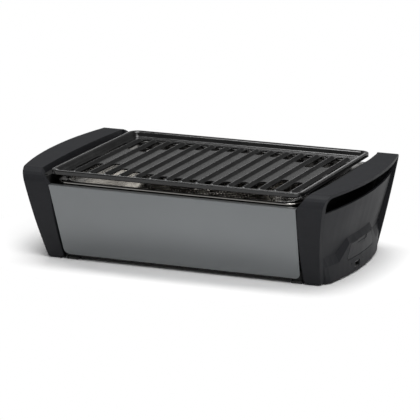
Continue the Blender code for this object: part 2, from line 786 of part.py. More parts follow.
def handle_strap():
    """The handle with its two legs and the flange under its inner edge."""
    strap = prism("strap", strap_outline(), 0, HANDLE_REACH + CUT_OVERRUN, "X")
    flange_y = LEG_TOP_Y - LEG_CREASE_BACK
    leg_ys = spread(flange_y + UNION_BITE, LEG_TOP_Y + CUT_OVERRUN, 3)
    top_ys = spread(-flange_y, flange_y, 12)
    ys = [-y for y in reversed(leg_ys)] + top_ys + leg_ys
    foot_z = LEG_FLOOR_GAP + LEG_TOE_ROUND
    zs = [-CUT_OVERRUN] + [LEG_FLOOR_GAP + share * LEG_TOE_ROUND for share in LEG_ROUND_SHARES]
    zs += spread(foot_z, PANEL_TOP_Z, 6)[1:] + spread(PANEL_TOP_Z, HANDLE_TOP_Z + CUT_OVERRUN, 3)[1:]

    def inner_x(y, z):
        if abs(y) > flange_y or z <= PANEL_TOP_Z:
            return leg_inner_x(z)
        return handle_inner_x(y)

    strap = trim(strap, side_block("reach", ys, zs, inner_x, strap_outer_x))

    def flange_inner_x(y, z):
        return handle_inner_x(y)

    def flange_outer_x(y, z):
        return handle_inner_x(y) + HANDLE_FLANGE_WALL

    flange_zs = [HANDLE_TOP_Z - HANDLE_FLANGE_DROP, HANDLE_TOP_Z - HANDLE_PLATE + UNION_BITE / 4]
    flange = side_block("flange", top_ys, flange_zs, flange_inner_x, flange_outer_x)
    return join(strap, flange)


# End covers


def panel_x(y, z):
    """The inclined upper face of an end cover."""
    bow = COVER_BOW * (y / HANDLE_HALF_SPAN) ** 2
    return COVER_REACH - bow - COVER_LEAN * (COVER_TOP_Z - z)


def fascia_x(y, z):
    """The lower face of an end cover, with the boss."""
    bow = FASCIA_BOW * (y / HANDLE_HALF_SPAN) ** 2
    return FASCIA_REACH - bow - FASCIA_LEAN * (BOSS_TOP_Z - z)


def boss_share(y):
    """1 on top of the boss, 0 beside it, and a slope between."""
    share = (BOSS_HALF_FOOT - abs(y)) / (BOSS_HALF_FOOT - BOSS_HALF_TOP)
    return min(max(share, 0), 1)


def cover_end_y(z):
    """Where an end cover stops beside a leg."""
    return leg_back_y(z) - SEAT_GAP


def end_cover():
    """The moulded cover of the right end, without its openings."""
    half_steps = (0, BOSS_HALF_TOP / 2, BOSS_HALF_TOP, (BOSS_HALF_TOP + BOSS_HALF_FOOT) / 2, BOSS_HALF_FOOT)
    right = [(y, 0, 0) for y in half_steps]
    right += [(BOSS_HALF_FOOT, share, tuck) for share, tuck in zip(WING_STEP_SHARES, WING_TUCK_SHARES)]
    columns = [(-1, *step) for step in reversed(right[1:])] + [(1, *step) for step in right]
    row_count = 2 + len(COVER_ROW_SHARES) + 1

    def place(column, row):
        side, y, share, tuck = columns[column]
        rise = boss_share(y)
        step_z = WING_TOP_Z + rise * (BOSS_TOP_Z - WING_TOP_Z)
        shoulder = WING_SHOULDER_RISE + rise * (BOSS_SHOULDER_RISE - WING_SHOULDER_RISE)
        if row < 3:
            z = (COVER_BOTTOM_Z, (COVER_BOTTOM_Z + step_z) / 2, step_z)[row]
        else:
            low = step_z + shoulder
            z = low + COVER_ROW_SHARES[row - 3] * (COVER_TOP_Z - low)
        y = side * (y + share * (cover_end_y(z) - y))
        x = fascia_x(y, z) if row < 3 else panel_x(y, z)
        edge = strap_outer_x(side * leg_back_y(z), z) - COVER_TUCK
        return (x - tuck * max(x - edge, 0), y, z)

    return thicken(sheet("cover", len(columns), row_count, place, (1, 0, 0)), COVER_WALL)


def door_outline(gap):
    """The battery door's outline in y and z, or its opening's with a gap."""
    right = []
    for share, corner in zip(DOOR_ROW_SHARES, DOOR_CORNER_SHARES):
        z = DOOR_BOTTOM_Z - gap + share * (DOOR_TOP_Z - DOOR_BOTTOM_Z + 2 * gap)
        half = DOOR_HALF_FOOT + share * (DOOR_HALF_TOP - DOOR_HALF_FOOT) + gap - corner * DOOR_CORNER
        right.append((half, z))
    return right


def right_cover():
    """The cover with the battery door's opening and the USB socket's."""
    cover = end_cover()
    right = door_outline(DOOR_GAP)
    loop = right + [(-y, z) for y, z in reversed(right)]
    inner_x = fascia_x(DOOR_HALF_FOOT, DOOR_BOTTOM_Z) - COVER_WALL - CUT_OVERRUN
    outer_x = FASCIA_REACH + CUT_OVERRUN
    opening = prism("opening", loop, inner_x, outer_x, "X")
    half_width = USB_WIDTH / 2 + USB_CUT_GAP
    half_height = USB_HEIGHT / 2 + USB_CUT_GAP
    low = (inner_x, USB_Y - half_width, USB_Z - half_height)
    high = (outer_x, USB_Y + half_width, USB_Z + half_height)
    socket_hole = box("socket_hole", low, high)
    hole_z = USB_Z + USB_HOLE_RISE
    lines = []
    for side in (-1, 1):
        y = USB_Y + side * USB_HOLE_OFFSET
        lines.append(((inner_x, y, hole_z), (outer_x, y, hole_z)))
    holes = rods("socket_screw_holes", USB_HOLE_RADIUS, lines, HOLE_SIDES)
    cover = cut(cover, opening, socket_hole, holes)
    shelf_top = USB_Z - USB_HEIGHT / 2 - USB_BOARD_THICKNESS - 2 * SEAT_GAP
    half_width = USB_WIDTH / 2 - UNION_BITE
    reach = fascia_x(USB_Y, shelf_top) - COVER_WALL / 2
    low = (reach - USB_SHELF_LENGTH, USB_Y - half_width, shelf_top - USB_SHELF_THICKNESS)
    high = (reach, USB_Y + half_width, shelf_top)
    return join(cover, box("shelf", low, high))


def left_cover():
    """The same cover for the left end, with a hole for the speed knob's stem."""
    blank = end_cover()
    cover = mirrored(blank, "left")
    bpy.data.objects.remove(blank, do_unlink=True)
    start = (-FASCIA_REACH - CUT_OVERRUN, 0, KNOB_Z)
    end = (-FASCIA_REACH + COVER_WALL + CUT_OVERRUN, 0, KNOB_Z)
    return cut(cover, rod("stem_hole", STEM_RADIUS + STEM_CLEARANCE, start, end, SMALL_SIDES))


# End liners


def liner_shelf():
    """The liner's top edge, which follows the bow of the handle's flange."""
    half = leg_back_y(LINER_TOP_Z) - LINER_SHELF_SIDE_INSET
    reach = HANDLE_FLANGE_WALL - LINER_SHELF_END_GAP
    outline = [(handle_inner_x(y) + reach, y) for y in spread(-half, half, SHELF_CURVE_STEPS)]
    outline += [(LINER_X + UNION_BITE, half), (LINER_X + UNION_BITE, -half)]
    return prism("shelf", outline, LINER_TOP_Z - LINER_SHELF_THICKNESS, LINER_TOP_Z)


def end_liner():
    """The upright wall beside the bowl, with its ledge, shelf and window."""
    zs = spread(PAN_TOP_Z + SEAT_GAP, LINER_TOP_Z, 7)
    half = [(LINER_RETURN * (1 - math.sqrt(1 - s * s)), s * LINER_RETURN) for s in LINER_CORNER_SHARES]

    def place(column, row):
        z = zs[row]
        end_y = strap_inside_y(z) - LINER_LEG_GAP
        count = len(half)
        side = -1 if column < count else 1
        step = count - 1 - column if column < count else column - count
        out, forward = half[step]
        return (LINER_X + out, side * (end_y - LINER_RETURN + forward), z)

    wall = thicken(sheet("liner", 2 * len(half), len(zs), place, (-1, 0, 0)), LINER_WALL)
    window_low = (LINER_X - CUT_OVERRUN, -LINER_WINDOW_HALF, 0)
    window_high = (LINER_X + LINER_WALL + CUT_OVERRUN, LINER_WINDOW_HALF, LINER_WINDOW_TOP_Z)
    wall = cut(wall, box("window", window_low, window_high))
    ledge_inner = LINER_X + UNION_BITE - LEDGE_WIDTH
    low = (ledge_inner, -LEDGE_HALF_LENGTH, LEDGE_TOP_Z - LEDGE_THICKNESS)
    high = (LINER_X + UNION_BITE, LEDGE_HALF_LENGTH, LEDGE_TOP_Z)
    ledge = box("ledge", low, high)
    return join(wall, ledge, liner_shelf())


# Panels


def panel_rows():
    """Half width, y and z of each line across the front panel, from its flange to its hem."""
    half_top = KINK_X - PANEL_SIDE_GAP
    half_foot = half_top - PANEL_FOOT_NARROWING
    foot_z = PANEL_BOTTOM_Z + PANEL_FOOT_ROUND
    top_z = PANEL_TOP_Z - PANEL_EDGE_ROUND
    round_y = -PANEL_TOP_Y + PANEL_EDGE_ROUND
    quarter = PANEL_EDGE_ROUND / 4

    def half_at(z):
        share = (z - PANEL_BOTTOM_Z) / (PANEL_TOP_Z - PANEL_BOTTOM_Z)
        edge = min((z - PANEL_BOTTOM_Z) / PANEL_CORNER, 1)
        inset = PANEL_CORNER * (1 - math.sqrt(1 - (1 - edge) ** 2))
        return half_foot + share * (half_top - half_foot) - inset

    def face_y(z):
        edge = min((z - PANEL_BOTTOM_Z) / PANEL_FOOT_ROUND, 1)
        curve = PANEL_FOOT_ROUND * (1 - math.sqrt(1 - (1 - edge) ** 2)) / 2
        return -(PANEL_BOTTOM_Y + PANEL_SLOPE * (z - PANEL_BOTTOM_Z)) + curve

    rows = [(half_top, round_y + PANEL_FLANGE, PANEL_TOP_Z), (half_top, round_y, PANEL_TOP_Z)]
    rows.append((half_top, -PANEL_TOP_Y + quarter, PANEL_TOP_Z - quarter))
    heights = [top_z, (top_z + foot_z) / 2, PANEL_BOTTOM_Z + PANEL_CORNER, foot_z]
    heights += [PANEL_BOTTOM_Z + share * PANEL_FOOT_ROUND for share in PANEL_FOOT_SHARES]
    rows += [(half_at(z), face_y(z), z) for z in heights]
    hem_half = half_foot - PANEL_CORNER
    rows.append((hem_half, face_y(PANEL_BOTTOM_Z), PANEL_BOTTOM_Z))
    rows.append((hem_half, -PANEL_BOTTOM_Y + PANEL_HEM, PANEL_BOTTOM_Z))
    return rows


def front_panel():
    """Folded sheet: top flange, leaning face with rounded lower corners, and hem."""
    rows = panel_rows()

    def place(column, row):
        half, y, z = rows[row]
        return ((-half, half)[column], y, z)

    return thicken(sheet("panel", 2, len(rows), place, (0, -1, -PANEL_SLOPE)), PANEL_SHEET)


def turned_round(obj, name):
    """A copy of a solid, turned half way round the Z axis."""
    mesh = obj.data.copy()
    mesh.transform(Matrix.Rotation(math.pi, 4, "Z"))
    copy = bpy.data.objects.new(name, mesh)
    PARTS.objects.link(copy)
    return copy


# Base pan, grille, heat shield and screws


def pan_block(inset, low, high):
    """The pan's plan as a solid: a rectangle between the legs with a tongue at each end."""
    outline = rounded_rectangle(PAN_HALF_LENGTH - inset, PAN_HALF_DEPTH - inset, PAN_CORNER)
    middle = prism("pan", outline, low, high)
    tongue_x = LINER_X + PAN_TONGUE_REACH - inset
    tongue_y = PAN_TONGUE_HALF_WIDTH - inset
    return join(middle, box("tongues", (-tongue_x, -tongue_y, low), (tongue_x, tongue_y, high)))


def screw_places():
    """Where the shield's feet are screwed to the pan."""
    return [(sx * (SHIELD_LEG_X - SHIELD_FOOT / 2), sy * SHIELD_LEG_Y) for sx in (-1, 1) for sy in (-1, 1)]


def board_post_places():
    """Where the control board's posts stand."""
    half_x = BOARD_LENGTH / 2 - BOARD_POST_INSET
    half_y = BOARD_WIDTH / 2 - BOARD_POST_INSET
    return [(BOARD_X + sx * half_x, sy * half_y) for sx in (-1, 1) for sy in (-1, 1)]


def base_pan():
    """The tray that closes the grill from below."""
    pan = pan_block(0, PAN_BOTTOM_Z, PAN_TOP_Z)
    pan = cut(pan, pan_block(PAN_WALL, PAN_FLOOR_Z, PAN_TOP_Z + CUT_OVERRUN))
    posts = []
    for x, y in board_post_places():
        posts.append(((x, y, PAN_FLOOR_Z - UNION_BITE), (x, y, PAN_FLOOR_Z + BOARD_POST_HEIGHT)))
    pan = join(pan, rods("posts", BOARD_POST_RADIUS, posts, SMALL_SIDES))
    lines = [((x, y, 0), (x, y, PAN_FLOOR_Z + CUT_OVERRUN)) for x, y in screw_places()]
    holes = rods("screw_holes", SCREW_RADIUS + SCREW_CLEARANCE, lines, HOLE_SIDES)
    inlet = rod("inlet", INLET_RADIUS, (0, 0, 0), (0, 0, PAN_FLOOR_Z + CUT_OVERRUN), ROUND_SIDES)
    return cut(pan, holes, inlet)


def inlet_grille():
    """A slotted disc that drops into the pan's inlet and hangs by its flange."""
    radius = INLET_RADIUS - SEAT_GAP * 2
    low = PAN_SEAT_Z - GRILLE_THICKNESS
    top = PAN_SEAT_Z + GRILLE_FLANGE_THICKNESS
    wide = INLET_RADIUS + GRILLE_FLANGE
    profile = [(0, top), (wide, top), (wide, PAN_SEAT_Z), (radius, PAN_SEAT_Z), (radius, low), (0, low)]
    disc = turned("disc", profile, ROUND_SIDES)
    slots = []
    for index in range(GRILLE_SLOT_COUNT):
        y = (index - (GRILLE_SLOT_COUNT - 1) / 2) * GRILLE_SLOT_PITCH
        half_x = math.sqrt((radius - GRILLE_EDGE) ** 2 - y**2)
        half_y = GRILLE_SLOT_WIDTH / 2
        slots.append(((-half_x, y - half_y, low - CUT_OVERRUN), (half_x, y + half_y, top + CUT_OVERRUN)))
    return cut(disc, blocks("slots", slots))


def heat_shield():
    """A sheet under the bowl on four screwed legs, open over the fan."""
    half = (SHIELD_HALF_LENGTH, SHIELD_HALF_DEPTH)
    low = (-half[0], -half[1], SHIELD_Z)
    high = (half[0], half[1], SHIELD_Z + SHIELD_SHEET)
    plate = box("plate", low, high)
    hole_radius = FAN_RADIUS + SHIELD_HOLE_GAP
    start = (0, 0, SHIELD_Z - CUT_OVERRUN)
    end = (0, 0, SHIELD_Z + SHIELD_SHEET + CUT_OVERRUN)
    plate = cut(plate, rod("fan_hole", hole_radius, start, end, FINE_SIDES))
    legs = []
    feet = []
    for sx in (-1, 1):
        for sy in (-1, 1):
            y = (sy * SHIELD_LEG_Y - SHIELD_LEG_WIDTH / 2, sy * SHIELD_LEG_Y + SHIELD_LEG_WIDTH / 2)
            x = sorted((sx * SHIELD_LEG_X, sx * (SHIELD_LEG_X + SHIELD_SHEET)))
            legs.append(((x[0], y[0], PAN_SEAT_Z), (x[1], y[1], SHIELD_Z + SHIELD_SHEET / 2)))
            x = sorted((sx * (SHIELD_LEG_X - SHIELD_FOOT), sx * (SHIELD_LEG_X + SHIELD_SHEET / 2)))
            inset = UNION_BITE / 4
            feet.append(((x[0], y[0] + inset, PAN_SEAT_Z), (x[1], y[1] - inset, PAN_SEAT_Z + SHIELD_SHEET)))
    shield = join(plate, blocks("legs", legs))
    shield = join(shield, blocks("feet", feet))
    lines = []
    for x, y in screw_places():
        lines.append(((x, y, PAN_FLOOR_Z - CUT_OVERRUN), (x, y, PAN_SEAT_Z + SHIELD_SHEET + CUT_OVERRUN)))
    return cut(shield, rods("holes", SCREW_RADIUS + SCREW_CLEARANCE, lines, HOLE_SIDES))


def base_screw(x, y):
    """A pan-head screw, head down, turned as one profile."""
    head_top = PAN_BOTTOM_Z - SEAT_GAP
    head_low = head_top - SCREW_HEAD
    top = head_top + SCREW_LENGTH
    profile = [(0, top), (SCREW_RADIUS, top), (SCREW_RADIUS, head_top), (SCREW_HEAD_RADIUS, head_top)]
    profile += [(SCREW_HEAD_RADIUS, head_top - SCREW_HEAD / 2), (SCREW_CROWN_RADIUS, head_low)]
    profile.append((0, head_low))
    screw = turned("screw", profile, SMALL_SIDES)
    screw.data.transform(Matrix.Translation((x, y, 0)))
    return screw


def foot_pad(x, y):
    """A rubber block under a corner of the pan."""
    half = (PAD_LENGTH / 2, PAD_WIDTH / 2)
    low = (x - half[0], y - half[1], 0)
    high = (x + half[0], y + half[1], PAN_BOTTOM_Z - SEAT_GAP)
    return soften(box("pad", low, high), PAD_ROUND)


# Fan


def fan_housing():
    """A round duct with three arms that carry the motor's cup."""
    inner = FAN_RADIUS - FAN_WALL
    profile = [(inner, FAN_TOP_Z), (FAN_RADIUS, FAN_TOP_Z), (FAN_RADIUS, PAN_SEAT_Z), (inner, PAN_SEAT_Z)]
    duct = turned("duct", profile, FINE_SIDES, closed=True)
    cup_outer = MOTOR_RADIUS + SEAT_GAP + MOTOR_CUP_WALL
    cup_inner = MOTOR_RADIUS + SEAT_GAP
    cup_top = SPIDER_Z + MOTOR_CUP_HEIGHT
    profile = [(0, CUP_FLOOR_Z), (cup_inner, CUP_FLOOR_Z), (cup_inner, cup_top), (cup_outer, cup_top)]
    profile += [(cup_outer, SPIDER_Z), (0, SPIDER_Z)]
    cup = turned("cup", profile, ROUND_SIDES)
    bm = bmesh.new()
    for index in range(SPIDER_ARMS):
        start = cup_inner + UNION_BITE
        end = inner + UNION_BITE
        size = Matrix.Diagonal((end - start, SPIDER_WIDTH, SPIDER_THICKNESS, 1))
        middle = Matrix.Translation(((start + end) / 2, 0, SPIDER_Z + SPIDER_THICKNESS / 2))
        turn = Matrix.Rotation(math.tau * index / SPIDER_ARMS, 4, "Z")
        bmesh.ops.create_cube(bm, size=1, matrix=turn @ middle @ size)
    arms = new_object("arms", bm)
    housing = join(duct, arms)
    housing = join(housing, cup)
    lead_z = SPIDER_Z + MOTOR_CUP_HEIGHT * MOTOR_LEAD_SHARE
    start = (-FAN_RADIUS - CUT_OVERRUN, 0, lead_z)
    end = (-MOTOR_RADIUS, 0, lead_z)
    return cut(housing, rod("lead_hole", LEAD_HOLE_RADIUS, start, end, HOLE_SIDES))


def fan_motor():
    """A round motor with the bore that its shaft runs in."""
    bore = SHAFT_RADIUS + SHAFT_CLEARANCE
    bore_floor = MOTOR_TOP_Z - SHAFT_DEPTH - SEAT_GAP
    profile = [(0, bore_floor), (bore, bore_floor), (bore, MOTOR_TOP_Z), (MOTOR_RADIUS, MOTOR_TOP_Z)]
    profile += [(MOTOR_RADIUS, MOTOR_BOTTOM_Z), (0, MOTOR_BOTTOM_Z)]
    return turned("motor", profile, ROUND_SIDES)


def fan_shaft():
    """The motor's shaft, which carries the impeller."""
    low = MOTOR_TOP_Z - SHAFT_DEPTH
    return rod("shaft", SHAFT_RADIUS, (0, 0, low), (0, 0, IMPELLER_Z + IMPELLER_HEIGHT), SMALL_SIDES)


def fan_impeller():
    """A disc with a hub and curved blades."""
    radius = IMPELLER_RADIUS
    bore = SHAFT_RADIUS + SHAFT_CLEARANCE
    disc_top = IMPELLER_Z + IMPELLER_DISC
    top = IMPELLER_Z + IMPELLER_HEIGHT
    profile = [(bore, top), (IMPELLER_HUB_RADIUS, top), (IMPELLER_HUB_RADIUS, disc_top), (radius, disc_top)]
    profile += [(radius, IMPELLER_Z), (bore, IMPELLER_Z)]
    wheel = turned("wheel", profile, ROUND_SIDES, closed=True)
    turn = math.radians(BLADE_TURN_DEGREES)
    start = (IMPELLER_HUB_RADIUS - UNION_BITE, 0)
    end_radius = radius - UNION_BITE
    end = (end_radius * math.cos(turn), end_radius * math.sin(turn))
    middle = curve_points(start, (end[0], 0), end, 4)
    edge = Vector((0, BLADE_THICKNESS / 2))
    upper = [(x - edge.y * share, y + edge.y) for share, (x, y) in zip(BLADE_LEAN_SHARES, middle)]
    lower = [(x + edge.y * share, y - edge.y) for share, (x, y) in zip(BLADE_LEAN_SHARES, middle)]
    outline = lower + list(reversed(upper))
    blade = prism("blade", outline, disc_top - UNION_BITE, top - UNION_BITE)
    bm = bmesh.new()
    for index in range(BLADE_COUNT):
        mesh = blade.data.copy()
        mesh.transform(Matrix.Rotation(math.tau * index / BLADE_COUNT, 4, "Z"))
        bm.from_mesh(mesh)
        bpy.data.meshes.remove(mesh)
    bpy.data.objects.remove(blade, do_unlink=True)
    return join(wheel, new_object("blades", bm))


# Bowl, dish, basket and grate


def loft(name, rings, close_last):
    """A surface through rings of equal counts of points, closed at its last ring."""
    bm = bmesh.new()
    made = [[bm.verts.new(point) for point in ring] for ring in rings]
    for first, second in zip(made, made[1:]):
        count = len(first)
        for index in range(count):
            after = (index + 1) % count
            bm.faces.new((first[index], first[after], second[after], second[index]))
    if close_last:
        bm.faces.new(made[-1])
    bmesh.ops.remove_doubles(bm, verts=bm.verts, dist=WELD)
    bm.normal_update()
    looks = sum((face.normal * face.calc_area() for face in bm.faces), Vector())
    if looks.z < 0:
        bmesh.ops.reverse_faces(bm, faces=bm.faces)
    return new_object(name, bm)


def level_ring(points, z):
    """Points of a plan at one height."""
    return [(x, y, z) for x, y in points]


def bowl():
    """Steel bowl: turned-down lip, flange, leaning walls, floor and air dome."""
    lip_x = HALF_LENGTH - BOWL_END_INSET
    lip_y = BOWL_LIP_Y
    wall_x = lip_x - BOWL_END_FLANGE
    wall_y = lip_y - BOWL_SIDE_FLANGE
    foot_x = wall_x - BOWL_END_TAPER
    foot_y = wall_y - BOWL_SIDE_TAPER
    corner = BOWL_WALL_CORNER
    rings = [
        level_ring(rounded_rectangle(lip_x, lip_y, BOWL_LIP_CORNER), BOWL_TOP_Z - BOWL_LIP_DROP),
        level_ring(rounded_rectangle(lip_x, lip_y, BOWL_LIP_CORNER), BOWL_TOP_Z),
        level_ring(rounded_rectangle(wall_x, wall_y, corner), BOWL_TOP_Z),
        level_ring(rounded_rectangle(foot_x, foot_y, corner), BOWL_FLOOR_Z + corner / 4),
        level_ring(rounded_rectangle(foot_x - corner / 4, foot_y - corner / 4, corner), BOWL_FLOOR_Z),
        level_ring(ring_points(DOME_RADIUS), BOWL_FLOOR_Z),
        level_ring(ring_points(DOME_TOP_RADIUS), BOWL_FLOOR_Z + DOME_HEIGHT),
    ]
    shell = thicken(loft("bowl", rings, True), BOWL_SHEET)
    hole_z = BOWL_FLOOR_Z + DOME_HEIGHT / 2
    lines = []
    for index in range(AIR_HOLE_COUNT):
        angle = math.tau * (index + 0.5) / AIR_HOLE_COUNT
        across = Vector((math.cos(angle), math.sin(angle), 0))
        up = Vector((0, 0, hole_z))
        inner = across * (DOME_TOP_RADIUS - CUT_OVERRUN) + up
        lines.append((inner, across * (DOME_RADIUS + CUT_OVERRUN) + up))
    return cut(shell, rods("air_holes", AIR_HOLE_RADIUS, lines, HOLE_SIDES))


def starter_dish():
    """A ring-shaped dish for the fire starter, round the bowl's dome."""
    low = BOWL_FLOOR_Z + SEAT_GAP
    top = low + DISH_HEIGHT
    floor = low + DISH_SHEET
    outer = DISH_OUTER_RADIUS
    inner = DISH_INNER_RADIUS
    profile = [(outer, top), (outer, low), (inner, low), (inner, top), (inner + DISH_SHEET, top)]
    profile += [(inner + DISH_SHEET, floor), (outer - DISH_SHEET, floor), (outer - DISH_SHEET, top)]
    return turned("dish", profile, FINE_SIDES, closed=True)


def basket_hole_lines(low, top):
    """Radial lines of the holes in the basket's wall, in staggered rows."""
    lines = []
    for row in range(BASKET_HOLE_ROWS):
        z = low + (top - low) * (row + 1) / (BASKET_HOLE_ROWS + 1)
        for index in range(BASKET_HOLES_ROUND):
            angle = math.tau * (index + row / 2) / BASKET_HOLES_ROUND
            across = Vector((math.cos(angle), math.sin(angle), 0))
            up = Vector((0, 0, z))
            start = across * (BASKET_RADIUS - BASKET_SHEET - CUT_OVERRUN)
            lines.append((start + up, across * (BASKET_RADIUS + CUT_OVERRUN) + up))
    return lines


def charcoal_basket():
    """A perforated drum with a raised floor and a rolled rim."""
    low = BASKET_BOTTOM_Z
    top = BASKET_TOP_Z
    floor = low + BASKET_FLOOR_HEIGHT
    outer = BASKET_RADIUS
    inner = outer - BASKET_SHEET
    profile = [
        (0, floor + BASKET_SHEET),
        (inner, floor + BASKET_SHEET),
        (inner, top),
        (outer + BASKET_ROLL, top),
        (outer + BASKET_ROLL, top - BASKET_ROLL),
        (outer, top - BASKET_ROLL),
        (outer, low),
        (inner, low),
        (inner, floor),
        (0, floor),
    ]
    drum = turned("drum", profile, FINE_SIDES)
    wall_low = floor + BASKET_SHEET
    hole_lines = basket_hole_lines(wall_low, top - BASKET_ROLL)
    wall_holes = rods("wall_holes", BASKET_HOLE_RADIUS, hole_lines, HOLE_SIDES)
    lines = []
    for index in range(BASKET_FLOOR_HOLES):
        angle = math.tau * index / BASKET_FLOOR_HOLES
        spot = Vector((math.cos(angle), math.sin(angle), 0)) * BASKET_FLOOR_RING
        reach = BASKET_SHEET + CUT_OVERRUN
        lines.append((spot + Vector((0, 0, floor - CUT_OVERRUN)), spot + Vector((0, 0, floor + reach))))
    floor_holes = rods("floor_holes", BASKET_HOLE_RADIUS, lines, HOLE_SIDES)
    return cut(drum, wall_holes, floor_holes)


def rib_places():
    """The middle lines of the grate's ribs."""
    return spread(-RIB_FIELD / 2, RIB_FIELD / 2, RIB_COUNT - 1)


def grate_ribs():
    """Ridges with sloping sides and ends, as one joiner."""
    top = GRATE_TOP_Z - RIB_DROP
    low = GRATE_FLOOR_Z - UNION_BITE
    bm = bmesh.new()
    for x in rib_places():
        made = bmesh.ops.create_cube(bm, size=1)
        for vert in made["verts"]:
            upper = vert.co.z > 0
            width = RIB_CREST if upper else RIB_WIDTH
            length = RIB_LENGTH - (2 * RIB_END_SLOPE if upper else 0)
            vert.co = (x + vert.co.x * width, vert.co.y * length, top if upper else low)
    return new_object("ribs", bm)


def grate_slots():
    """The open slots between the ribs, beside the last ribs and in the corners."""
    low = GRATE_FLOOR_Z - GRATE_SHEET - CUT_OVERRUN
    top = GRATE_FLOOR_Z + CUT_OVERRUN
    ribs = rib_places()
    half_width = (ribs[1] - ribs[0] - RIB_WIDTH) / 2 - SLOT_MARGIN / 2
    outer = RIB_LENGTH / 2 - SLOT_END_INSET
    middle = (RIB_COUNT - 2) / 2
    slots = []
    for index, (first, second) in enumerate(zip(ribs, ribs[1:])):
        share = CLOSED_FLOOR_SHARES[int(abs(index - middle)) % len(CLOSED_FLOOR_SHARES)]
        x = (first + second) / 2
        inner = share * RIB_LENGTH / 2
        for side in (-1, 1):
            y = sorted((side * inner, side * outer))
            slots.append(((x - half_width, y[0], low), (x + half_width, y[1], top)))
    slot_x = ribs[-1] + RIB_WIDTH / 2 + SLOT_MARGIN / 2
    for side in (-1, 1):
        x = sorted((side * slot_x, side * (slot_x + SIDE_SLOT_WIDTH)))
        for end in (-1, 1):
            y = sorted((end * SIDE_SLOT_INNER, end * (RIB_LENGTH / 2 - SIDE_SLOT_OUTER_INSET)))
            slots.append(((x[0], y[0], low), (x[1], y[1], top)))
    return blocks("slots", slots)


def grate():
    """Pressed plate with a raised rim, ribs, slots and two standing legs."""
    corner = GRATE_CORNER
    crest_x = HALF_LENGTH - GRATE_RIM_ROUND
    crest_y = HALF_DEPTH - GRATE_RIM_ROUND
    inner_x = crest_x - GRATE_RIM_CREST
    inner_y = crest_y - GRATE_RIM_CREST
    floor_x = inner_x - GRATE_RIM_SLOPE
    floor_y = inner_y - GRATE_RIM_SLOPE
    shoulder_z = GRATE_TOP_Z - GRATE_RIM_ROUND
    inner_corner = corner - GRATE_RIM_CREST
    rings = [
        level_ring(rounded_rectangle(HALF_LENGTH, HALF_DEPTH, corner), shoulder_z - GRATE_RIM_FACE),
        level_ring(rounded_rectangle(HALF_LENGTH, HALF_DEPTH, corner), shoulder_z),
        level_ring(rounded_rectangle(crest_x, crest_y, corner - GRATE_RIM_ROUND), GRATE_TOP_Z),
        level_ring(rounded_rectangle(inner_x, inner_y, inner_corner), GRATE_TOP_Z),
        level_ring(rounded_rectangle(floor_x, floor_y, inner_corner / 2), GRATE_FLOOR_Z),
    ]
    plate = thicken(loft("plate", rings, True), GRATE_SHEET)
    plate = join(plate, grate_ribs())
    legs = []
    for side in (-1, 1):
        outer = HALF_LENGTH - GRATE_LEG_INSET
        x = sorted((side * outer, side * (outer - GRATE_LEG_WIDTH)))
        half = HALF_DEPTH - GRATE_LEG_SIDE_INSET
        low = BOWL_TOP_Z + SEAT_GAP
        legs.append(((x[0], -half, low), (x[1], half, GRATE_FLOOR_Z - GRATE_SHEET / 4)))
    plate = join(plate, blocks("legs", legs))
    lines = []
    for sx in (-1, 1):
        for sy in (-1, 1):
            x = sx * (RIB_FIELD / 2 + RIB_WIDTH / 2 + CORNER_HOLE_GAP)
            y = sy * (RIB_LENGTH / 2 - CORNER_HOLE_INSET)
            low = GRATE_FLOOR_Z - GRATE_SHEET - CUT_OVERRUN
            lines.append(((x, y, low), (x, y, GRATE_FLOOR_Z + CUT_OVERRUN)))
    holes = rods("corner_holes", CORNER_HOLE_RADIUS, lines, HOLE_SIDES)
    return cut(plate, grate_slots(), holes)


# Battery end


def battery_box():
    """An open-ended tray for the cells behind the battery door."""
    half = BOX_HALF_INSIDE
    low = (BOX_BACK_X - BOX_WALL, -half - BOX_WALL, BOX_BOTTOM_Z)
    outer = box("tray", low, (BOX_END_X, half + BOX_WALL, BOX_TOP_Z))
    low = (BOX_BACK_X, -half, BOX_BOTTOM_Z + BOX_WALL)
    high = (BOX_END_X + CUT_OVERRUN, half, BOX_TOP_Z - BOX_WALL)
    tray = cut(outer, box("room", low, high))
    brackets = []
    for side in (-1, 1):
        y = sorted((side * (half - UNION_BITE), side * (half + BOX_WALL + UNION_BITE)))
        x = BOX_BACK_X + BOX_WALL
        brackets.append(((x, y[0], PAN_SEAT_Z), (x + LINER_WALL * 3, y[1], BOX_BOTTOM_Z + UNION_BITE)))
    return join(tray, blocks("brackets", brackets))


def cell_places():
    """The middle lines of the cells."""
    half = CELL_PITCH * (CELL_COUNT - 1) / 2
    return spread(-half, half, CELL_COUNT - 1)


def battery_cell(y, outward):
    """A round cell whose nub points out of the grill or into it."""
    profile = [(0, CELL_LENGTH + CELL_NUB), (CELL_NUB_RADIUS, CELL_LENGTH + CELL_NUB)]
    profile += [(CELL_NUB_RADIUS, CELL_LENGTH), (CELL_RADIUS, CELL_LENGTH), (CELL_RADIUS, 0), (0, 0)]
    cell = turned("cell", profile, CELL_SIDES)
    start = CELL_END_X - CELL_LENGTH - CELL_NUB if outward else CELL_END_X
    turn = Matrix.Rotation(math.radians(90 if outward else -90), 4, "Y")
    cell.data.transform(Matrix.Translation((start, y, CELL_Z)) @ turn)
    return cell


def inner_contact():
    """The plate that joins the cells at the back of the box."""
    half = BOX_HALF_INSIDE - CONTACT_MARGIN
    low = (BOX_BACK_X + SEAT_GAP, -half, CELL_Z - CELL_RADIUS * CONTACT_HEIGHT_SHARE)
    high = (BOX_BACK_X + SEAT_GAP + CONTACT_THICKNESS, half, CELL_Z + CELL_RADIUS * CONTACT_HEIGHT_SHARE)
    return box("contact", low, high)


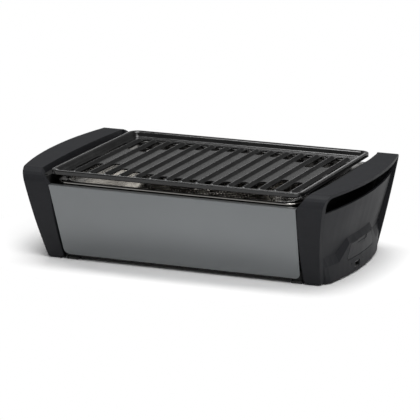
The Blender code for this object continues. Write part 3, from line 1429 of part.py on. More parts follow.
def battery_door():
    """A curved door with a latch notch above and two lugs below."""
    outline = door_outline(0)

    def place(column, row):
        half, z = outline[row]
        y = DOOR_COLUMN_SHARES[column] * half
        return (fascia_x(y, z), y, z)

    door = sheet("door", len(DOOR_COLUMN_SHARES), len(outline), place, (1, 0, 0))
    door = thicken(door, DOOR_WALL)
    outer_x = FASCIA_REACH + CUT_OVERRUN
    face_x = fascia_x(0, DOOR_TOP_Z)
    notch_low = (face_x - LATCH_DEPTH, -LATCH_HALF_WIDTH, DOOR_TOP_Z - LATCH_DROP)
    notch = box("notch", notch_low, (outer_x, LATCH_HALF_WIDTH, DOOR_TOP_Z + CUT_OVERRUN))
    tab_low = (face_x - LATCH_DEPTH / 2, -LATCH_TAB_HALF_WIDTH, DOOR_TOP_Z - LATCH_TAB_DROP)
    tab = box("tab", tab_low, (outer_x, LATCH_TAB_HALF_WIDTH, DOOR_TOP_Z - LATCH_DROP + CUT_OVERRUN))
    door = cut(door, notch, tab)
    tip_x = fascia_x(DOOR_LUG_Y + DOOR_LUG_WIDTH / 2, DOOR_BOTTOM_Z) - COVER_WALL - DOOR_LUG_GAP
    tips = []
    necks = []
    for side in (-1, 1):
        low_y = side * DOOR_LUG_Y - DOOR_LUG_WIDTH / 2
        high_y = low_y + DOOR_LUG_WIDTH
        low_x = tip_x - DOOR_LUG_WALL
        top_z = DOOR_BOTTOM_Z + DOOR_LUG_RISE
        tips.append(((low_x, low_y, DOOR_BOTTOM_Z - DOOR_LUG_DROP), (tip_x, high_y, top_z)))
        neck_low = (tip_x - UNION_BITE, low_y + UNION_BITE / 2, DOOR_BOTTOM_Z + UNION_BITE)
        neck_x = fascia_x(0, DOOR_BOTTOM_Z) - DOOR_WALL / 2
        necks.append((neck_low, (neck_x, high_y - UNION_BITE / 2, top_z - UNION_BITE / 2)))
    door = join(door, blocks("necks", necks))
    return join(door, blocks("tips", tips))


def door_contact():
    """The plate that joins the cells at the mouth of the box."""
    half = BOX_HALF_INSIDE - CONTACT_MARGIN
    low_x = CELL_END_X + SEAT_GAP
    low = (low_x, -half, CELL_Z - CELL_RADIUS * CONTACT_HEIGHT_SHARE)
    return box("contact", low, (low_x + CONTACT_THICKNESS, half, CELL_Z + CELL_RADIUS * CONTACT_HEIGHT_SHARE))


# USB socket


def usb_face_x():
    """Where the socket's mouth stands, just inside the cover's face."""
    return fascia_x(USB_Y, USB_Z) - USB_FACE_DROP


def usb_back_x():
    """Where the socket and its board end."""
    return usb_face_x() - USB_LENGTH


def usb_socket():
    """A sheet-metal socket, open to the right."""
    half = (USB_WIDTH / 2, USB_HEIGHT / 2)
    low = (usb_back_x(), USB_Y - half[0], USB_Z - half[1])
    shell = box("shell", low, (usb_face_x(), USB_Y + half[0], USB_Z + half[1]))
    low = (usb_back_x() + USB_WALL, USB_Y - half[0] + USB_WALL, USB_Z - half[1] + USB_WALL)
    high = (usb_face_x() + CUT_OVERRUN, USB_Y + half[0] - USB_WALL, USB_Z + half[1] - USB_WALL)
    return cut(shell, box("mouth", low, high))


def usb_board():
    """The small board under the socket."""
    top = USB_Z - USB_HEIGHT / 2 - SEAT_GAP
    half = USB_WIDTH / 2 + USB_BOARD_MARGIN
    low = (usb_back_x(), USB_Y - half, top - USB_BOARD_THICKNESS)
    return box("board", low, (usb_face_x() - USB_BOARD_SETBACK, USB_Y + half, top))


# Speed control and board


def knob_face_x():
    """The outer face of the left fascia at the knob."""
    return -fascia_x(0, KNOB_Z)


def speed_knob():
    """A turned knob with a ridge across its face and a stem."""
    base = KNOB_STANDOFF
    top = base + KNOB_HEIGHT
    profile = [(0, top), (KNOB_RADIUS - KNOB_EDGE * 2, top), (KNOB_RADIUS - KNOB_EDGE, top - KNOB_EDGE)]
    profile += [(KNOB_RADIUS, base), (STEM_RADIUS, base), (STEM_RADIUS, base - STEM_LENGTH)]
    profile.append((0, base - STEM_LENGTH))
    knob = turned("knob", profile, ROUND_SIDES)
    ridge_half = KNOB_RADIUS - KNOB_EDGE * 3
    low = (-KNOB_RIDGE_WIDTH / 2, -ridge_half, top - UNION_BITE)
    knob = join(knob, box("ridge", low, (KNOB_RIDGE_WIDTH / 2, ridge_half, top + KNOB_RIDGE_HEIGHT)))
    turn = Matrix.Rotation(math.radians(-90), 4, "Y")
    knob.data.transform(Matrix.Translation((knob_face_x(), 0, KNOB_Z)) @ turn)
    return knob


def speed_control():
    """The block behind the left cover that the knob's stem turns in."""
    low_x = knob_face_x() + COVER_WALL + CONTROL_GAP
    half = CONTROL_WIDTH / 2
    block = box("block", (low_x, -half, KNOB_Z - half), (low_x + CONTROL_DEPTH, half, KNOB_Z + half))
    start = (low_x - CUT_OVERRUN, 0, KNOB_Z)
    end = (knob_face_x() - KNOB_STANDOFF + STEM_LENGTH + STEM_CLEARANCE, 0, KNOB_Z)
    return cut(block, rod("bore", STEM_RADIUS + STEM_CLEARANCE, start, end, SMALL_SIDES))


def control_board():
    """The board on its posts, with three capacitors and a plug strip."""
    half = (BOARD_LENGTH / 2, BOARD_WIDTH / 2)
    low = (BOARD_X - half[0], -half[1], BOARD_Z)
    board = box("board", low, (BOARD_X + half[0], half[1], BOARD_Z + BOARD_THICKNESS))
    foot = BOARD_Z + BOARD_THICKNESS - UNION_BITE
    lines = []
    for share in CAPACITOR_PLACE_SHARES:
        y = share * BOARD_WIDTH
        lines.append(((BOARD_X, y, foot), (BOARD_X, y, foot + CAPACITOR_HEIGHT)))
    return join(board, rods("capacitors", CAPACITOR_RADIUS, lines, SMALL_SIDES))


def lead(name, route):
    """A flexible lead through the points of a route."""
    curve = bpy.data.curves.new(name, "CURVE")
    curve.dimensions = "3D"
    curve.bevel_depth = LEAD_RADIUS
    curve.bevel_resolution = 1
    curve.use_fill_caps = True
    spline = curve.splines.new("POLY")
    spline.points.add(len(route) - 1)
    for point, place in zip(spline.points, route):
        point.co = (*place, 1)
    tube = bpy.data.objects.new(name, curve)
    PARTS.objects.link(tube)
    return settle(tube)


def smooth_route(stops, steps):
    """Points of a smooth line through stops, straight at both ends."""
    route = [tuple(stops[0])]
    last = len(stops) - 1
    for index in range(1, last - 1):
        before = Vector(stops[index - 1])
        start = Vector(stops[index])
        end = Vector(stops[index + 1])
        after = Vector(stops[index + 2])
        for step in range(steps):
            share = step / steps
            bend = (start * 2 + (end - before) * share)
            bend += (before * 2 - start * 5 + end * 4 - after) * share**2
            bend += (start * 3 - before - end * 3 + after) * share**3
            route.append(tuple(bend / 2))
    return route + [tuple(stops[-2]), tuple(stops[-1])]


def lead_routes():
    """Each lead's stops between the pieces that it joins."""
    run = LEAD_STRAIGHT
    board_edge = BOARD_X + BOARD_LENGTH / 2 + LEAD_END_GAP
    board_z = BOARD_Z + BOARD_THICKNESS / 2
    round_fan = FAN_RADIUS + LEAD_FAN_GAP
    box_back = BOX_BACK_X - BOX_WALL - LEAD_END_GAP
    side = BOARD_WIDTH / 4
    battery = [(box_back, side, CELL_Z), (box_back - run, side, CELL_Z)]
    battery.append((box_back - run * 6, round_fan - run, (CELL_Z + LEAD_FLOOR_Z) / 2))
    battery.append((run * 4, round_fan, LEAD_FLOOR_Z))
    battery += [(-run * 8, round_fan, LEAD_FLOOR_Z), (board_edge + run * 5, side + run, LEAD_FLOOR_Z)]
    battery += [(board_edge + run, side, board_z), (board_edge, side, board_z)]
    usb_z = USB_Z - USB_HEIGHT / 2 - SEAT_GAP - USB_BOARD_THICKNESS / 2
    usb_x = usb_back_x() - LEAD_END_GAP
    over_z = PAN_TOP_Z + LEAD_RADIUS * 2
    tongue_x = LINER_X + PAN_TONGUE_REACH
    usb = [(usb_x, USB_Y, usb_z), (usb_x - run / 2, USB_Y, usb_z), (tongue_x, USB_Y, over_z)]
    usb += [(LINER_X, USB_Y - run, over_z), (LINER_X - run * 8, USB_Y - run * 2, LEAD_FLOOR_Z)]
    usb += [(round_fan, -round_fan, LEAD_FLOOR_Z), (-run * 8, -round_fan, LEAD_FLOOR_Z)]
    usb += [(board_edge + run * 5, -side - run, LEAD_FLOOR_Z)]
    usb += [(board_edge + run, -side, board_z), (board_edge, -side, board_z)]
    motor_z = SPIDER_Z + MOTOR_CUP_HEIGHT * MOTOR_LEAD_SHARE
    motor = [(-MOTOR_RADIUS - LEAD_END_GAP, 0, motor_z), (-round_fan, 0, motor_z)]
    motor += [(board_edge + run, 0, board_z), (board_edge, 0, board_z)]
    control_x = knob_face_x() + COVER_WALL + CONTROL_GAP + CONTROL_DEPTH + LEAD_END_GAP
    far_edge = BOARD_X - BOARD_LENGTH / 2 - LEAD_END_GAP
    control = [(control_x, 0, KNOB_Z), (control_x + run, 0, KNOB_Z)]
    control += [(far_edge - run * 2, 0, over_z), (far_edge - run, 0, board_z), (far_edge, 0, board_z)]
    return {"battery_lead": battery, "usb_lead": usb, "motor_lead": motor, "speed_control_lead": control}


def build():
    """Make every sub-part of the grill."""
    strap = handle_strap()
    left_strap = mirrored(strap, "left_strap")
    finish(strap, "handle_strap_right", ANTHRACITE)
    finish(left_strap, "handle_strap_left", ANTHRACITE)
    finish(right_cover(), "end_cover_right", ANTHRACITE)
    finish(left_cover(), "end_cover_left", ANTHRACITE)
    liner = end_liner()
    left_liner = mirrored(liner, "left_liner")
    finish(liner, "end_liner_right", DARK_PLASTIC)
    finish(left_liner, "end_liner_left", DARK_PLASTIC)
    panel = front_panel()
    back = turned_round(panel, "back")
    finish(panel, "front_panel", PANEL_GREY)
    finish(back, "back_panel", PANEL_GREY)
    finish(base_pan(), "base_pan", DARK_PLASTIC)
    finish(inlet_grille(), "inlet_grille", DARK_PLASTIC)
    finish(heat_shield(), "heat_shield", ZINC_STEEL)
    for index, (x, y) in enumerate(screw_places()):
        finish(base_screw(x, y), "base_screw_%d" % (index + 1), ZINC_STEEL)
    for index, (sx, sy) in enumerate(((-1, -1), (1, -1), (-1, 1), (1, 1))):
        finish(foot_pad(sx * PAD_X, sy * PAD_Y), "foot_pad_%d" % (index + 1), RUBBER)
    finish(fan_housing(), "fan_housing", DARK_PLASTIC)
    finish(fan_motor(), "fan_motor", ZINC_STEEL)
    shaft = finish(fan_shaft(), "fan_shaft", ZINC_STEEL)
    impeller = finish(fan_impeller(), "fan_impeller", DARK_PLASTIC)
    pivot("fan_axis", (0, 0, IMPELLER_Z), [shaft, impeller])
    finish(battery_box(), "battery_box", DARK_PLASTIC)
    for index, y in enumerate(cell_places()):
        finish(battery_cell(y, index % 2 == 0), "battery_cell_%d" % (index + 1), CELL_WRAP)
    finish(inner_contact(), "battery_contact_inner", BRASS)
    finish(usb_socket(), "usb_socket", ZINC_STEEL)
    finish(usb_board(), "usb_board", BOARD_GREEN)
    finish(speed_control(), "speed_control", DARK_PLASTIC)
    finish(control_board(), "control_board", BOARD_GREEN)
    for name, stops in lead_routes().items():
        finish(lead(name, smooth_route(stops, 4)), name, LEAD_RED)
    door = finish(battery_door(), "battery_door", ANTHRACITE)
    contact = finish(door_contact(), "battery_contact_door", BRASS)
    pivot("battery_door_hinge", (DOOR_AXIS_X, 0, DOOR_AXIS_Z), [door, contact])
    knob = finish(speed_knob(), "speed_knob", ANTHRACITE)
    pivot("speed_knob_axis", (knob_face_x(), 0, KNOB_Z), [knob])
    steel_bowl = finish(bowl(), "bowl", POLISHED_STEEL)
    pivot("bowl_seat", (0, 0, LEDGE_TOP_Z), [steel_bowl])
    dish = finish(starter_dish(), "fire_starter_dish", POLISHED_STEEL)
    pivot("dish_seat", (0, 0, BOWL_FLOOR_Z), [dish])
    basket = finish(charcoal_basket(), "charcoal_basket", POLISHED_STEEL)
    pivot("basket_seat", (0, 0, BASKET_BOTTOM_Z), [basket])
    plate = finish(grate(), "grate", ENAMEL)
    pivot("grate_seat", (0, 0, BOWL_TOP_Z), [plate])


build()
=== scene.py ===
import json
import math

import bmesh
import bpy
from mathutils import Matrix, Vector


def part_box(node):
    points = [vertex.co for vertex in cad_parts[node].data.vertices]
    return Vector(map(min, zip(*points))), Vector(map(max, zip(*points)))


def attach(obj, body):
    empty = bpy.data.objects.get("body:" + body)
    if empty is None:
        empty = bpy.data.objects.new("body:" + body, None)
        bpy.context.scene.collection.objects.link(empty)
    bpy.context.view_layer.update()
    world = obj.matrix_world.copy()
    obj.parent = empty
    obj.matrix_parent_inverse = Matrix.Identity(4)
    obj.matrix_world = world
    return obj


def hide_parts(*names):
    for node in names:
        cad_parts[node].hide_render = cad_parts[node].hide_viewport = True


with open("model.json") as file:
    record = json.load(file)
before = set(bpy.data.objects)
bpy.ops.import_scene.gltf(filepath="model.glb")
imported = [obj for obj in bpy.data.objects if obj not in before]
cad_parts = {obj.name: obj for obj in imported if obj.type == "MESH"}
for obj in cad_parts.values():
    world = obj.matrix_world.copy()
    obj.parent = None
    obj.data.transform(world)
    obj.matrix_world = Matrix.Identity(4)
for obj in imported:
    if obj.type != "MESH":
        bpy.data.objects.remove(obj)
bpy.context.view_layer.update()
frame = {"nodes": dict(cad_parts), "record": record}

NODES = frame["nodes"]

MERGE = 0.000005
FINE_MERGE = 0.000001
CORNER_STEPS = 10

# Helpers for meshes


def add_object(name, bm):
    """An object in the scene, made from a bmesh that is then freed."""
    mesh = bpy.data.meshes.new(name)
    bm.to_mesh(mesh)
    bm.free()
    obj = bpy.data.objects.new(name, mesh)
    bpy.context.scene.collection.objects.link(obj)
    return obj


def new_piece(name, bm, body, surface, replaced=()):
    """A finished piece in the row frame, which rides on a body."""
    obj = add_object(name, bm)
    obj.data.materials.append(surface)
    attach(obj, body)
    if replaced:
        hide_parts(*replaced)
    return obj


def select_only(obj):
    """Make one object the selected and active one."""
    bpy.ops.object.select_all(action="DESELECT")
    obj.select_set(True)
    bpy.context.view_layer.objects.active = obj


def apply_all(obj):
    """Apply the modifiers of an object in their order."""
    select_only(obj)
    for modifier in list(obj.modifiers):
        bpy.ops.object.modifier_apply(modifier=modifier.name)


def clean(obj, degrees=35):
    """Merge doubles, turn the faces outward and shade smooth up to an angle."""
    select_only(obj)
    bpy.ops.object.mode_set(mode="EDIT")
    bpy.ops.mesh.select_all(action="SELECT")
    bpy.ops.mesh.remove_doubles(threshold=MERGE)
    bpy.ops.mesh.normals_make_consistent(inside=False)
    bpy.ops.object.mode_set(mode="OBJECT")
    bpy.ops.object.shade_smooth_by_angle(angle=math.radians(degrees))


def bevel(obj, width, degrees):
    """Round an object's edges sharper than an angle with a modifier."""
    edge = obj.modifiers.new("edge", "BEVEL")
    edge.width = width
    edge.segments = 2
    edge.limit_method = "ANGLE"
    edge.angle_limit = math.radians(degrees)
    edge.use_clamp_overlap = True
    edge.harden_normals = True


def solidify(obj, wall):
    """Give a sheet its wall, on the inner side of its faces."""
    shell = obj.modifiers.new("wall", "SOLIDIFY")
    shell.thickness = wall
    shell.offset = -1.0
    shell.use_even_offset = True


def finish_sheet(obj, degrees, wall):
    """Clean a sheet and give it its wall for good."""
    clean(obj, degrees)
    solidify(obj, wall)
    apply_all(obj)


def rounded(half_x, half_y, corner, steps=CORNER_STEPS):
    """Points of a rounded rectangle, anticlockwise."""
    points = []
    for quarter, (side_x, side_y) in enumerate(((1, 1), (-1, 1), (-1, -1), (1, -1))):
        for step in range(steps + 1):
            angle = math.pi / 2 * (quarter + step / steps)
            x = side_x * (half_x - corner) + corner * math.cos(angle)
            y = side_y * (half_y - corner) + corner * math.sin(angle)
            points.append((x, y))
    return points


def at_height(points, z):
    """A level ring of points."""
    return [(x, y, z) for x, y in points]


def loft(bm, rings, close_last=False, close_first=False, around=True):
    """Faces between rings, or open strips, that have the same number of points."""
    made = [[bm.verts.new(point) for point in ring] for ring in rings]
    count = len(made[0])
    for first, second in zip(made, made[1:]):
        for index in range(count if around else count - 1):
            after = (index + 1) % count
            bm.faces.new((first[index], first[after], second[after], second[index]))
    if close_last:
        bm.faces.new(made[-1])
    if close_first:
        bm.faces.new(list(reversed(made[0])))


# Node groups and materials

COLOUR = "NodeSocketColor"
FLOAT = "NodeSocketFloat"
WHITE = (1.0, 1.0, 1.0, 1.0)
GROUP_OUTPUTS = (("Colour", COLOUR), ("Roughness", FLOAT), ("Height", FLOAT))
NOISE_LOW = 0.35
NOISE_HIGH = 0.65
MIX_FACTOR = 0
MIX_FIRST = 6
MIX_SECOND = 7
MIX_RESULT = 2
STREAK_SQUEEZE = 0.03
SMUDGE_SCALE = 24.0
BUMP_DISTANCE = 0.0001
COAT_ROUGHNESS = 0.05


def feed(tree, socket, value):
    """Give a node's input a number, or link another node's output to it."""
    if isinstance(value, (int, float)):
        socket.default_value = value
    else:
        tree.links.new(value, socket)


def group(name, inputs):
    """A node group with inputs given as (name, kind, value) and the usual outputs."""
    tree = bpy.data.node_groups.new(name, "ShaderNodeTree")
    for label, kind, value in inputs:
        socket = tree.interface.new_socket(label, in_out="INPUT", socket_type=kind)
        socket.default_value = value
    for label, kind in GROUP_OUTPUTS:
        tree.interface.new_socket(label, in_out="OUTPUT", socket_type=kind)
    return tree, tree.nodes.new("NodeGroupInput").outputs, tree.nodes.new("NodeGroupOutput")


def noise(tree, vector, scale, detail, rough):
    """A noise texture on a vector; the scale is a number or a socket."""
    made = tree.nodes.new("ShaderNodeTexNoise")
    tree.links.new(vector, made.inputs["Vector"])
    made.inputs["Detail"].default_value = detail
    made.inputs["Roughness"].default_value = rough
    feed(tree, made.inputs["Scale"], scale)
    return made.outputs["Fac"]


def maths(tree, operation, first, second):
    """One arithmetic node on sockets or numbers."""
    made = tree.nodes.new("ShaderNodeMath")
    made.operation = operation
    feed(tree, made.inputs[0], first)
    feed(tree, made.inputs[1], second)
    return made.outputs[0]


def remap(tree, value, low, high, to_low, to_high):
    """A value carried from one range to another, held at its ends."""
    made = tree.nodes.new("ShaderNodeMapRange")
    for index, item in enumerate((value, low, high, to_low, to_high)):
        feed(tree, made.inputs[index], item)
    return made.outputs[0]


def squeeze_x(tree, vector, scale):
    """A vector whose X is scaled."""
    made = tree.nodes.new("ShaderNodeMapping")
    made.inputs["Scale"].default_value = (scale, 1.0, 1.0)
    tree.links.new(vector, made.inputs["Vector"])
    return made.outputs["Vector"]


def blend_colour(tree, share, first, second):
    """A colour between two colour sockets."""
    made = tree.nodes.new("ShaderNodeMix")
    made.data_type = "RGBA"
    tree.links.new(share, made.inputs[MIX_FACTOR])
    tree.links.new(first, made.inputs[MIX_FIRST])
    tree.links.new(second, made.inputs[MIX_SECOND])
    return made.outputs[MIX_RESULT]


def finish_group(tree, given, result, share, uneven, height):
    """Colour by one mask and roughness by another, with the height passed on."""
    colour = blend_colour(tree, share, given["Dark"], given["Light"])
    rough = remap(tree, uneven, NOISE_LOW, NOISE_HIGH, given["Rough Low"], given["Rough High"])
    tree.links.new(colour, result.inputs["Colour"])
    tree.links.new(rough, result.inputs["Roughness"])
    tree.links.new(height, result.inputs["Height"])
    return tree


def make_grained():
    """Fine grain with broad uneven patches: colour, roughness and bump height."""
    inputs = (
        ("Dark", COLOUR, WHITE),
        ("Light", COLOUR, WHITE),
        ("Rough Low", FLOAT, 0.4),
        ("Rough High", FLOAT, 0.5),
        ("Grain Scale", FLOAT, 1500.0),
        ("Patch Scale", FLOAT, 18.0),
    )
    tree, given, result = group("grained_surface", inputs)
    place = tree.nodes.new("ShaderNodeTexCoord").outputs["Object"]
    grain = noise(tree, place, given["Grain Scale"], 2.0, 0.6)
    patch = noise(tree, place, given["Patch Scale"], 4.0, 0.55)
    fine = maths(tree, "MULTIPLY", grain, 0.45)
    broad = maths(tree, "MULTIPLY", patch, 0.55)
    mixed = maths(tree, "ADD", fine, broad)
    share = remap(tree, mixed, NOISE_LOW, NOISE_HIGH, 0.0, 1.0)
    return finish_group(tree, given, result, share, patch, grain)


def make_drawn():
    """Drawn or rolled metal: streaks along X with faint smudges."""
    inputs = (
        ("Dark", COLOUR, WHITE),
        ("Light", COLOUR, WHITE),
        ("Rough Low", FLOAT, 0.2),
        ("Rough High", FLOAT, 0.3),
        ("Streak Scale", FLOAT, 900.0),
    )
    tree, given, result = group("drawn_metal", inputs)
    place = tree.nodes.new("ShaderNodeTexCoord").outputs["Object"]
    drawn_out = squeeze_x(tree, place, STREAK_SQUEEZE)
    streak = noise(tree, drawn_out, given["Streak Scale"], 3.0, 0.6)
    smudge = noise(tree, place, SMUDGE_SCALE, 4.0, 0.6)
    share = remap(tree, maths(tree, "ADD", streak, smudge), 0.8, 1.2, 0.0, 1.0)
    return finish_group(tree, given, result, share, smudge, streak)


GRAINED = make_grained()
DRAWN = make_drawn()


def surface(name, tree, values, metallic=0.0, bump=0.1, coat=0.0, specular=0.5):
    """A material whose colour, roughness and bump come from a shared group."""
    made = bpy.data.materials.new(name)
    made.use_nodes = True
    nodes = made.node_tree.nodes
    links = made.node_tree.links
    shader = nodes["Principled BSDF"]
    source = nodes.new("ShaderNodeGroup")
    source.node_tree = tree
    for label, value in values.items():
        source.inputs[label].default_value = value
    links.new(source.outputs["Colour"], shader.inputs["Base Color"])
    links.new(source.outputs["Roughness"], shader.inputs["Roughness"])
    relief = nodes.new("ShaderNodeBump")
    relief.inputs["Strength"].default_value = bump
    relief.inputs["Distance"].default_value = BUMP_DISTANCE
    links.new(source.outputs["Height"], relief.inputs["Height"])
    links.new(relief.outputs["Normal"], shader.inputs["Normal"])
    shader.inputs["Metallic"].default_value = metallic
    shader.inputs["Coat Weight"].default_value = coat
    shader.inputs["Coat Roughness"].default_value = COAT_ROUGHNESS
    shader.inputs["Specular IOR Level"].default_value = specular
    return made


def tone(level, tint):
    """A linear grey with a tint."""
    return (level * tint[0], level * tint[1], level * tint[2], 1.0)


def shades(levels, tint, roughness):
    """The group inputs that both kinds of surface have."""
    return {
        "Dark": tone(levels[0], tint),
        "Light": tone(levels[1], tint),
        "Rough Low": roughness[0],
        "Rough High": roughness[1],
    }


def grained(name, levels, tint, roughness, grain=1500.0, patch=18.0, **rest):
    """A grained surface between two grey levels."""
    values = shades(levels, tint, roughness)
    values.update({"Grain Scale": grain, "Patch Scale": patch})
    return surface(name, GRAINED, values, **rest)


def drawn(name, levels, tint, roughness, **rest):
    """A drawn metal between two grey levels."""
    values = shades(levels, tint, roughness)
    return surface(name, DRAWN, values, metallic=1.0, **rest)


NEUTRAL = (1.0, 1.0, 1.0)
BLUISH = (0.93, 0.96, 1.08)
COOL = (0.95, 1.0, 1.025)
WARM = (1.0, 0.97, 0.92)
WARMER = (1.0, 0.94, 0.86)
BRASSY = (1.0, 0.78, 0.38)
GREEN = (0.25, 1.0, 0.5)
RED = (1.0, 0.10, 0.09)

ANTHRACITE = grained(
    "anthracite_plastic", (0.014, 0.018), BLUISH, (0.50, 0.58), bump=0.05, specular=0.10
)
DOOR_PLASTIC = grained(
    "door_plastic", (0.013, 0.018), BLUISH, (0.46, 0.54), bump=0.05, specular=0.14
)
DARK = grained(
    "dark_plastic", (0.007, 0.012), NEUTRAL, (0.50, 0.62), bump=0.2, specular=0.25
)
PAINT = grained(
    "panel_paint", (0.168, 0.178), COOL, (0.28, 0.29), 3200.0, 9.0, metallic=0.75, bump=0.004
)
STEEL = drawn("polished_steel", (0.30, 0.36), WARM, (0.16, 0.22), bump=0.006)
PERFORATED = drawn("basket_steel", (0.30, 0.44), WARMER, (0.22, 0.34), bump=0.03)
ENAMEL = grained(
    "black_enamel", (0.005, 0.009), NEUTRAL, (0.14, 0.24), 420.0, 40.0,
    bump=0.08, coat=0.25, specular=0.40
)
ZINC = drawn("zinc_steel", (0.42, 0.56), NEUTRAL, (0.30, 0.45), bump=0.08)
RUBBER = grained("black_rubber", (0.010, 0.016), NEUTRAL, (0.75, 0.90), 900.0, 60.0, bump=0.3)
BRASS = drawn("contact_brass", (0.50, 0.66), BRASSY, (0.22, 0.34))
SLEEVE = grained(
    "cell_sleeve", (0.08, 0.11), BLUISH, (0.26, 0.36), 600.0, 50.0, metallic=0.3, bump=0.03
)
BOARD = grained("board_lacquer", (0.10, 0.13), GREEN, (0.34, 0.46), 700.0, 80.0)
LEAD = grained("lead_sleeve", (0.07, 0.10), RED, (0.42, 0.52), 900.0, 120.0)
SHELL = drawn("socket_shell", (0.05, 0.08), NEUTRAL, (0.35, 0.45), bump=0.05)

BY_SLOT = {
    "anthracite_plastic": ANTHRACITE,
    "dark_plastic": DARK,
    "panel_paint": PAINT,
    "polished_steel": STEEL,
    "black_enamel": ENAMEL,
    "zinc_steel": ZINC,
    "rubber": RUBBER,
    "contact_brass": BRASS,
    "cell_wrap": SLEEVE,
    "circuit_board": BOARD,
    "lead_sleeve": LEAD,
}
BY_NODE = {"battery_door": DOOR_PLASTIC, "usb_socket": SHELL}


def dress(node, look):
    """Give a CAD node its material, on the object and not on its mesh."""
    if not node.material_slots:
        node.data.materials.append(look)
    for slot in node.material_slots:
        slot.link = "OBJECT"
        slot.material = look


for part in frame["record"]["subparts"]:
    dress(NODES[part["node"]], BY_NODE.get(part["node"], BY_SLOT[part["material_slot"]]))

# The grate: rounded rim, pressed floor with round-ended slots, and smooth ribs

GRATE_LOW, GRATE_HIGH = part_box("grate")
GRATE_X = GRATE_HIGH.x
GRATE_Y = GRATE_HIGH.y
GRATE_TOP = GRATE_HIGH.z
GRATE_WALL = 0.0018
GRATE_CORNER = 0.014
GRATE_CORNER_LEAST = 0.004
GRATE_EDGE = 0.0004
FLOOR_TOP = GRATE_TOP - 0.0068
RIM_PROFILE = (
    (0.0, -0.0048),
    (0.0, -0.0009),
    (0.00015, -0.0004),
    (0.0005, -0.0001),
    (0.0012, 0.0),
    (0.0034, 0.0),
    (0.0052, -0.0002),
    (0.0066, -0.0008),
    (0.0078, -0.0022),
    (0.0090, -0.0046),
    (0.0102, -0.0062),
    (0.0114, -0.0068),
    (0.0126, -0.0068),
)

RIB_TOP = GRATE_TOP - 0.0039
RIB_COUNT = 15
RIB_FIELD = 2 * GRATE_X - 2 * 0.0232
RIB_LENGTH = 2 * GRATE_Y - 2 * 0.0225
RIB_WIDTH = 0.0090
RIB_SINK = 0.0006
RIB_END_WIDTH = 0.72
RIBS = [-RIB_FIELD / 2 + RIB_FIELD * step / (RIB_COUNT - 1) for step in range(RIB_COUNT)]
RIB_SECTION_HALF = (
    (-0.5, 0.0), (-0.43, 0.10), (-0.34, 0.34), (-0.24, 0.64), (-0.14, 0.88), (-0.06, 0.98)
)
RIB_STATIONS_HALF = (
    (1.0, 0.0), (0.995, 0.12), (0.985, 0.36), (0.968, 0.70), (0.952, 0.92), (0.935, 1.0),
    (0.90, 1.0), (0.4, 1.0)
)

CLOSED_SHARES = (0.755, 0.74, 0.70, 0.64, 0.55, 0.35, 0.41)
SLOT_RIB_GAP = 0.0006
SLOT_END_GAP = 0.0020
SLOT_ROUNDNESS = 0.98
SIDE_SLOT_OUT = 0.0032
SIDE_SLOT_HALF_WIDTH = 0.0026
SIDE_SLOT_FROM = 0.0080
SIDE_SLOT_END_GAP = 0.0280
SIDE_HOLE_OUT = 0.0030
SIDE_HOLE_END_GAP = 0.0160

LEG_INSET = 0.0080
LEG_HALF_WALL = 0.0012
LEG_END_INSET = 0.0535
LEG_CORNER = 0.0010


def mirrored(points, middle):
    """Half a symmetric outline, its middle, and the other half."""
    return list(points) + [middle] + [(-place, rise) for place, rise in reversed(points)]


def grate_shell():
    """The rim and the floor as one sheet, without slots."""
    rings = []
    for inset, drop in RIM_PROFILE:
        corner = max(GRATE_CORNER - inset, GRATE_CORNER_LEAST)
        points = rounded(GRATE_X - inset, GRATE_Y - inset, corner)
        rings.append(at_height(points, GRATE_TOP + drop))
    bm = bmesh.new()
    loft(bm, rings, close_last=True)
    return bm


def slot_outlines():
    """Middle, half width and half length of every slot in the floor."""
    slots = []
    half_width = (RIBS[1] - RIBS[0] - RIB_WIDTH) / 2 - SLOT_RIB_GAP
    outer = RIB_LENGTH / 2 - SLOT_END_GAP
    middle = (RIB_COUNT - 2) / 2
    for index, (first, second) in enumerate(zip(RIBS, RIBS[1:])):
        closed = CLOSED_SHARES[int(abs(index - middle)) % len(CLOSED_SHARES)]
        inner = closed * RIB_LENGTH / 2
        for side in (-1, 1):
            along = side * (inner + outer) / 2
            slots.append(((first + second) / 2, along, half_width, (outer - inner) / 2))
    rib_edge = RIBS[-1] + RIB_WIDTH / 2
    reach = (SIDE_SLOT_FROM + RIB_LENGTH / 2 - SIDE_SLOT_END_GAP) / 2
    half_length = (RIB_LENGTH / 2 - SIDE_SLOT_END_GAP - SIDE_SLOT_FROM) / 2
    half = SIDE_SLOT_HALF_WIDTH
    hole_reach = RIB_LENGTH / 2 - SIDE_HOLE_END_GAP
    for side in (-1, 1):
        for end in (-1, 1):
            slots.append((side * (rib_edge + SIDE_SLOT_OUT), end * reach, half, half_length))
            slots.append((side * (rib_edge + SIDE_HOLE_OUT), end * hole_reach, half, half))
    return slots


def slot_cutter():
    """Round-ended blocks that open the floor."""
    bm = bmesh.new()
    for x, y, half_x, half_y in slot_outlines():
        points = rounded(half_x, half_y, min(half_x, half_y) * SLOT_ROUNDNESS, 4)
        moved = [(x + px, y + py) for px, py in points]
        rings = [at_height(moved, z) for z in (FLOOR_TOP - 0.006, FLOOR_TOP + 0.004)]
        loft(bm, rings, close_last=True, close_first=True)
    bmesh.ops.recalc_face_normals(bm, faces=bm.faces)
    return add_object("slot_cutter", bm)


def build_grate_plate():
    """The rim and floor with their wall, slots and rounded slot edges."""
    plate = new_piece("grate_plate", grate_shell(), "grate", ENAMEL, ("grate",))
    clean(plate)
    solidify(plate, GRATE_WALL)
    cutter = slot_cutter()
    opening = plate.modifiers.new("slots", "BOOLEAN")
    opening.operation = "DIFFERENCE"
    opening.solver = "EXACT"
    opening.object = cutter
    apply_all(plate)
    bpy.data.objects.remove(cutter, do_unlink=True)
    clean(plate, 40)
    bevel(plate, GRATE_EDGE, 50)
    apply_all(plate)
    clean(plate, 40)


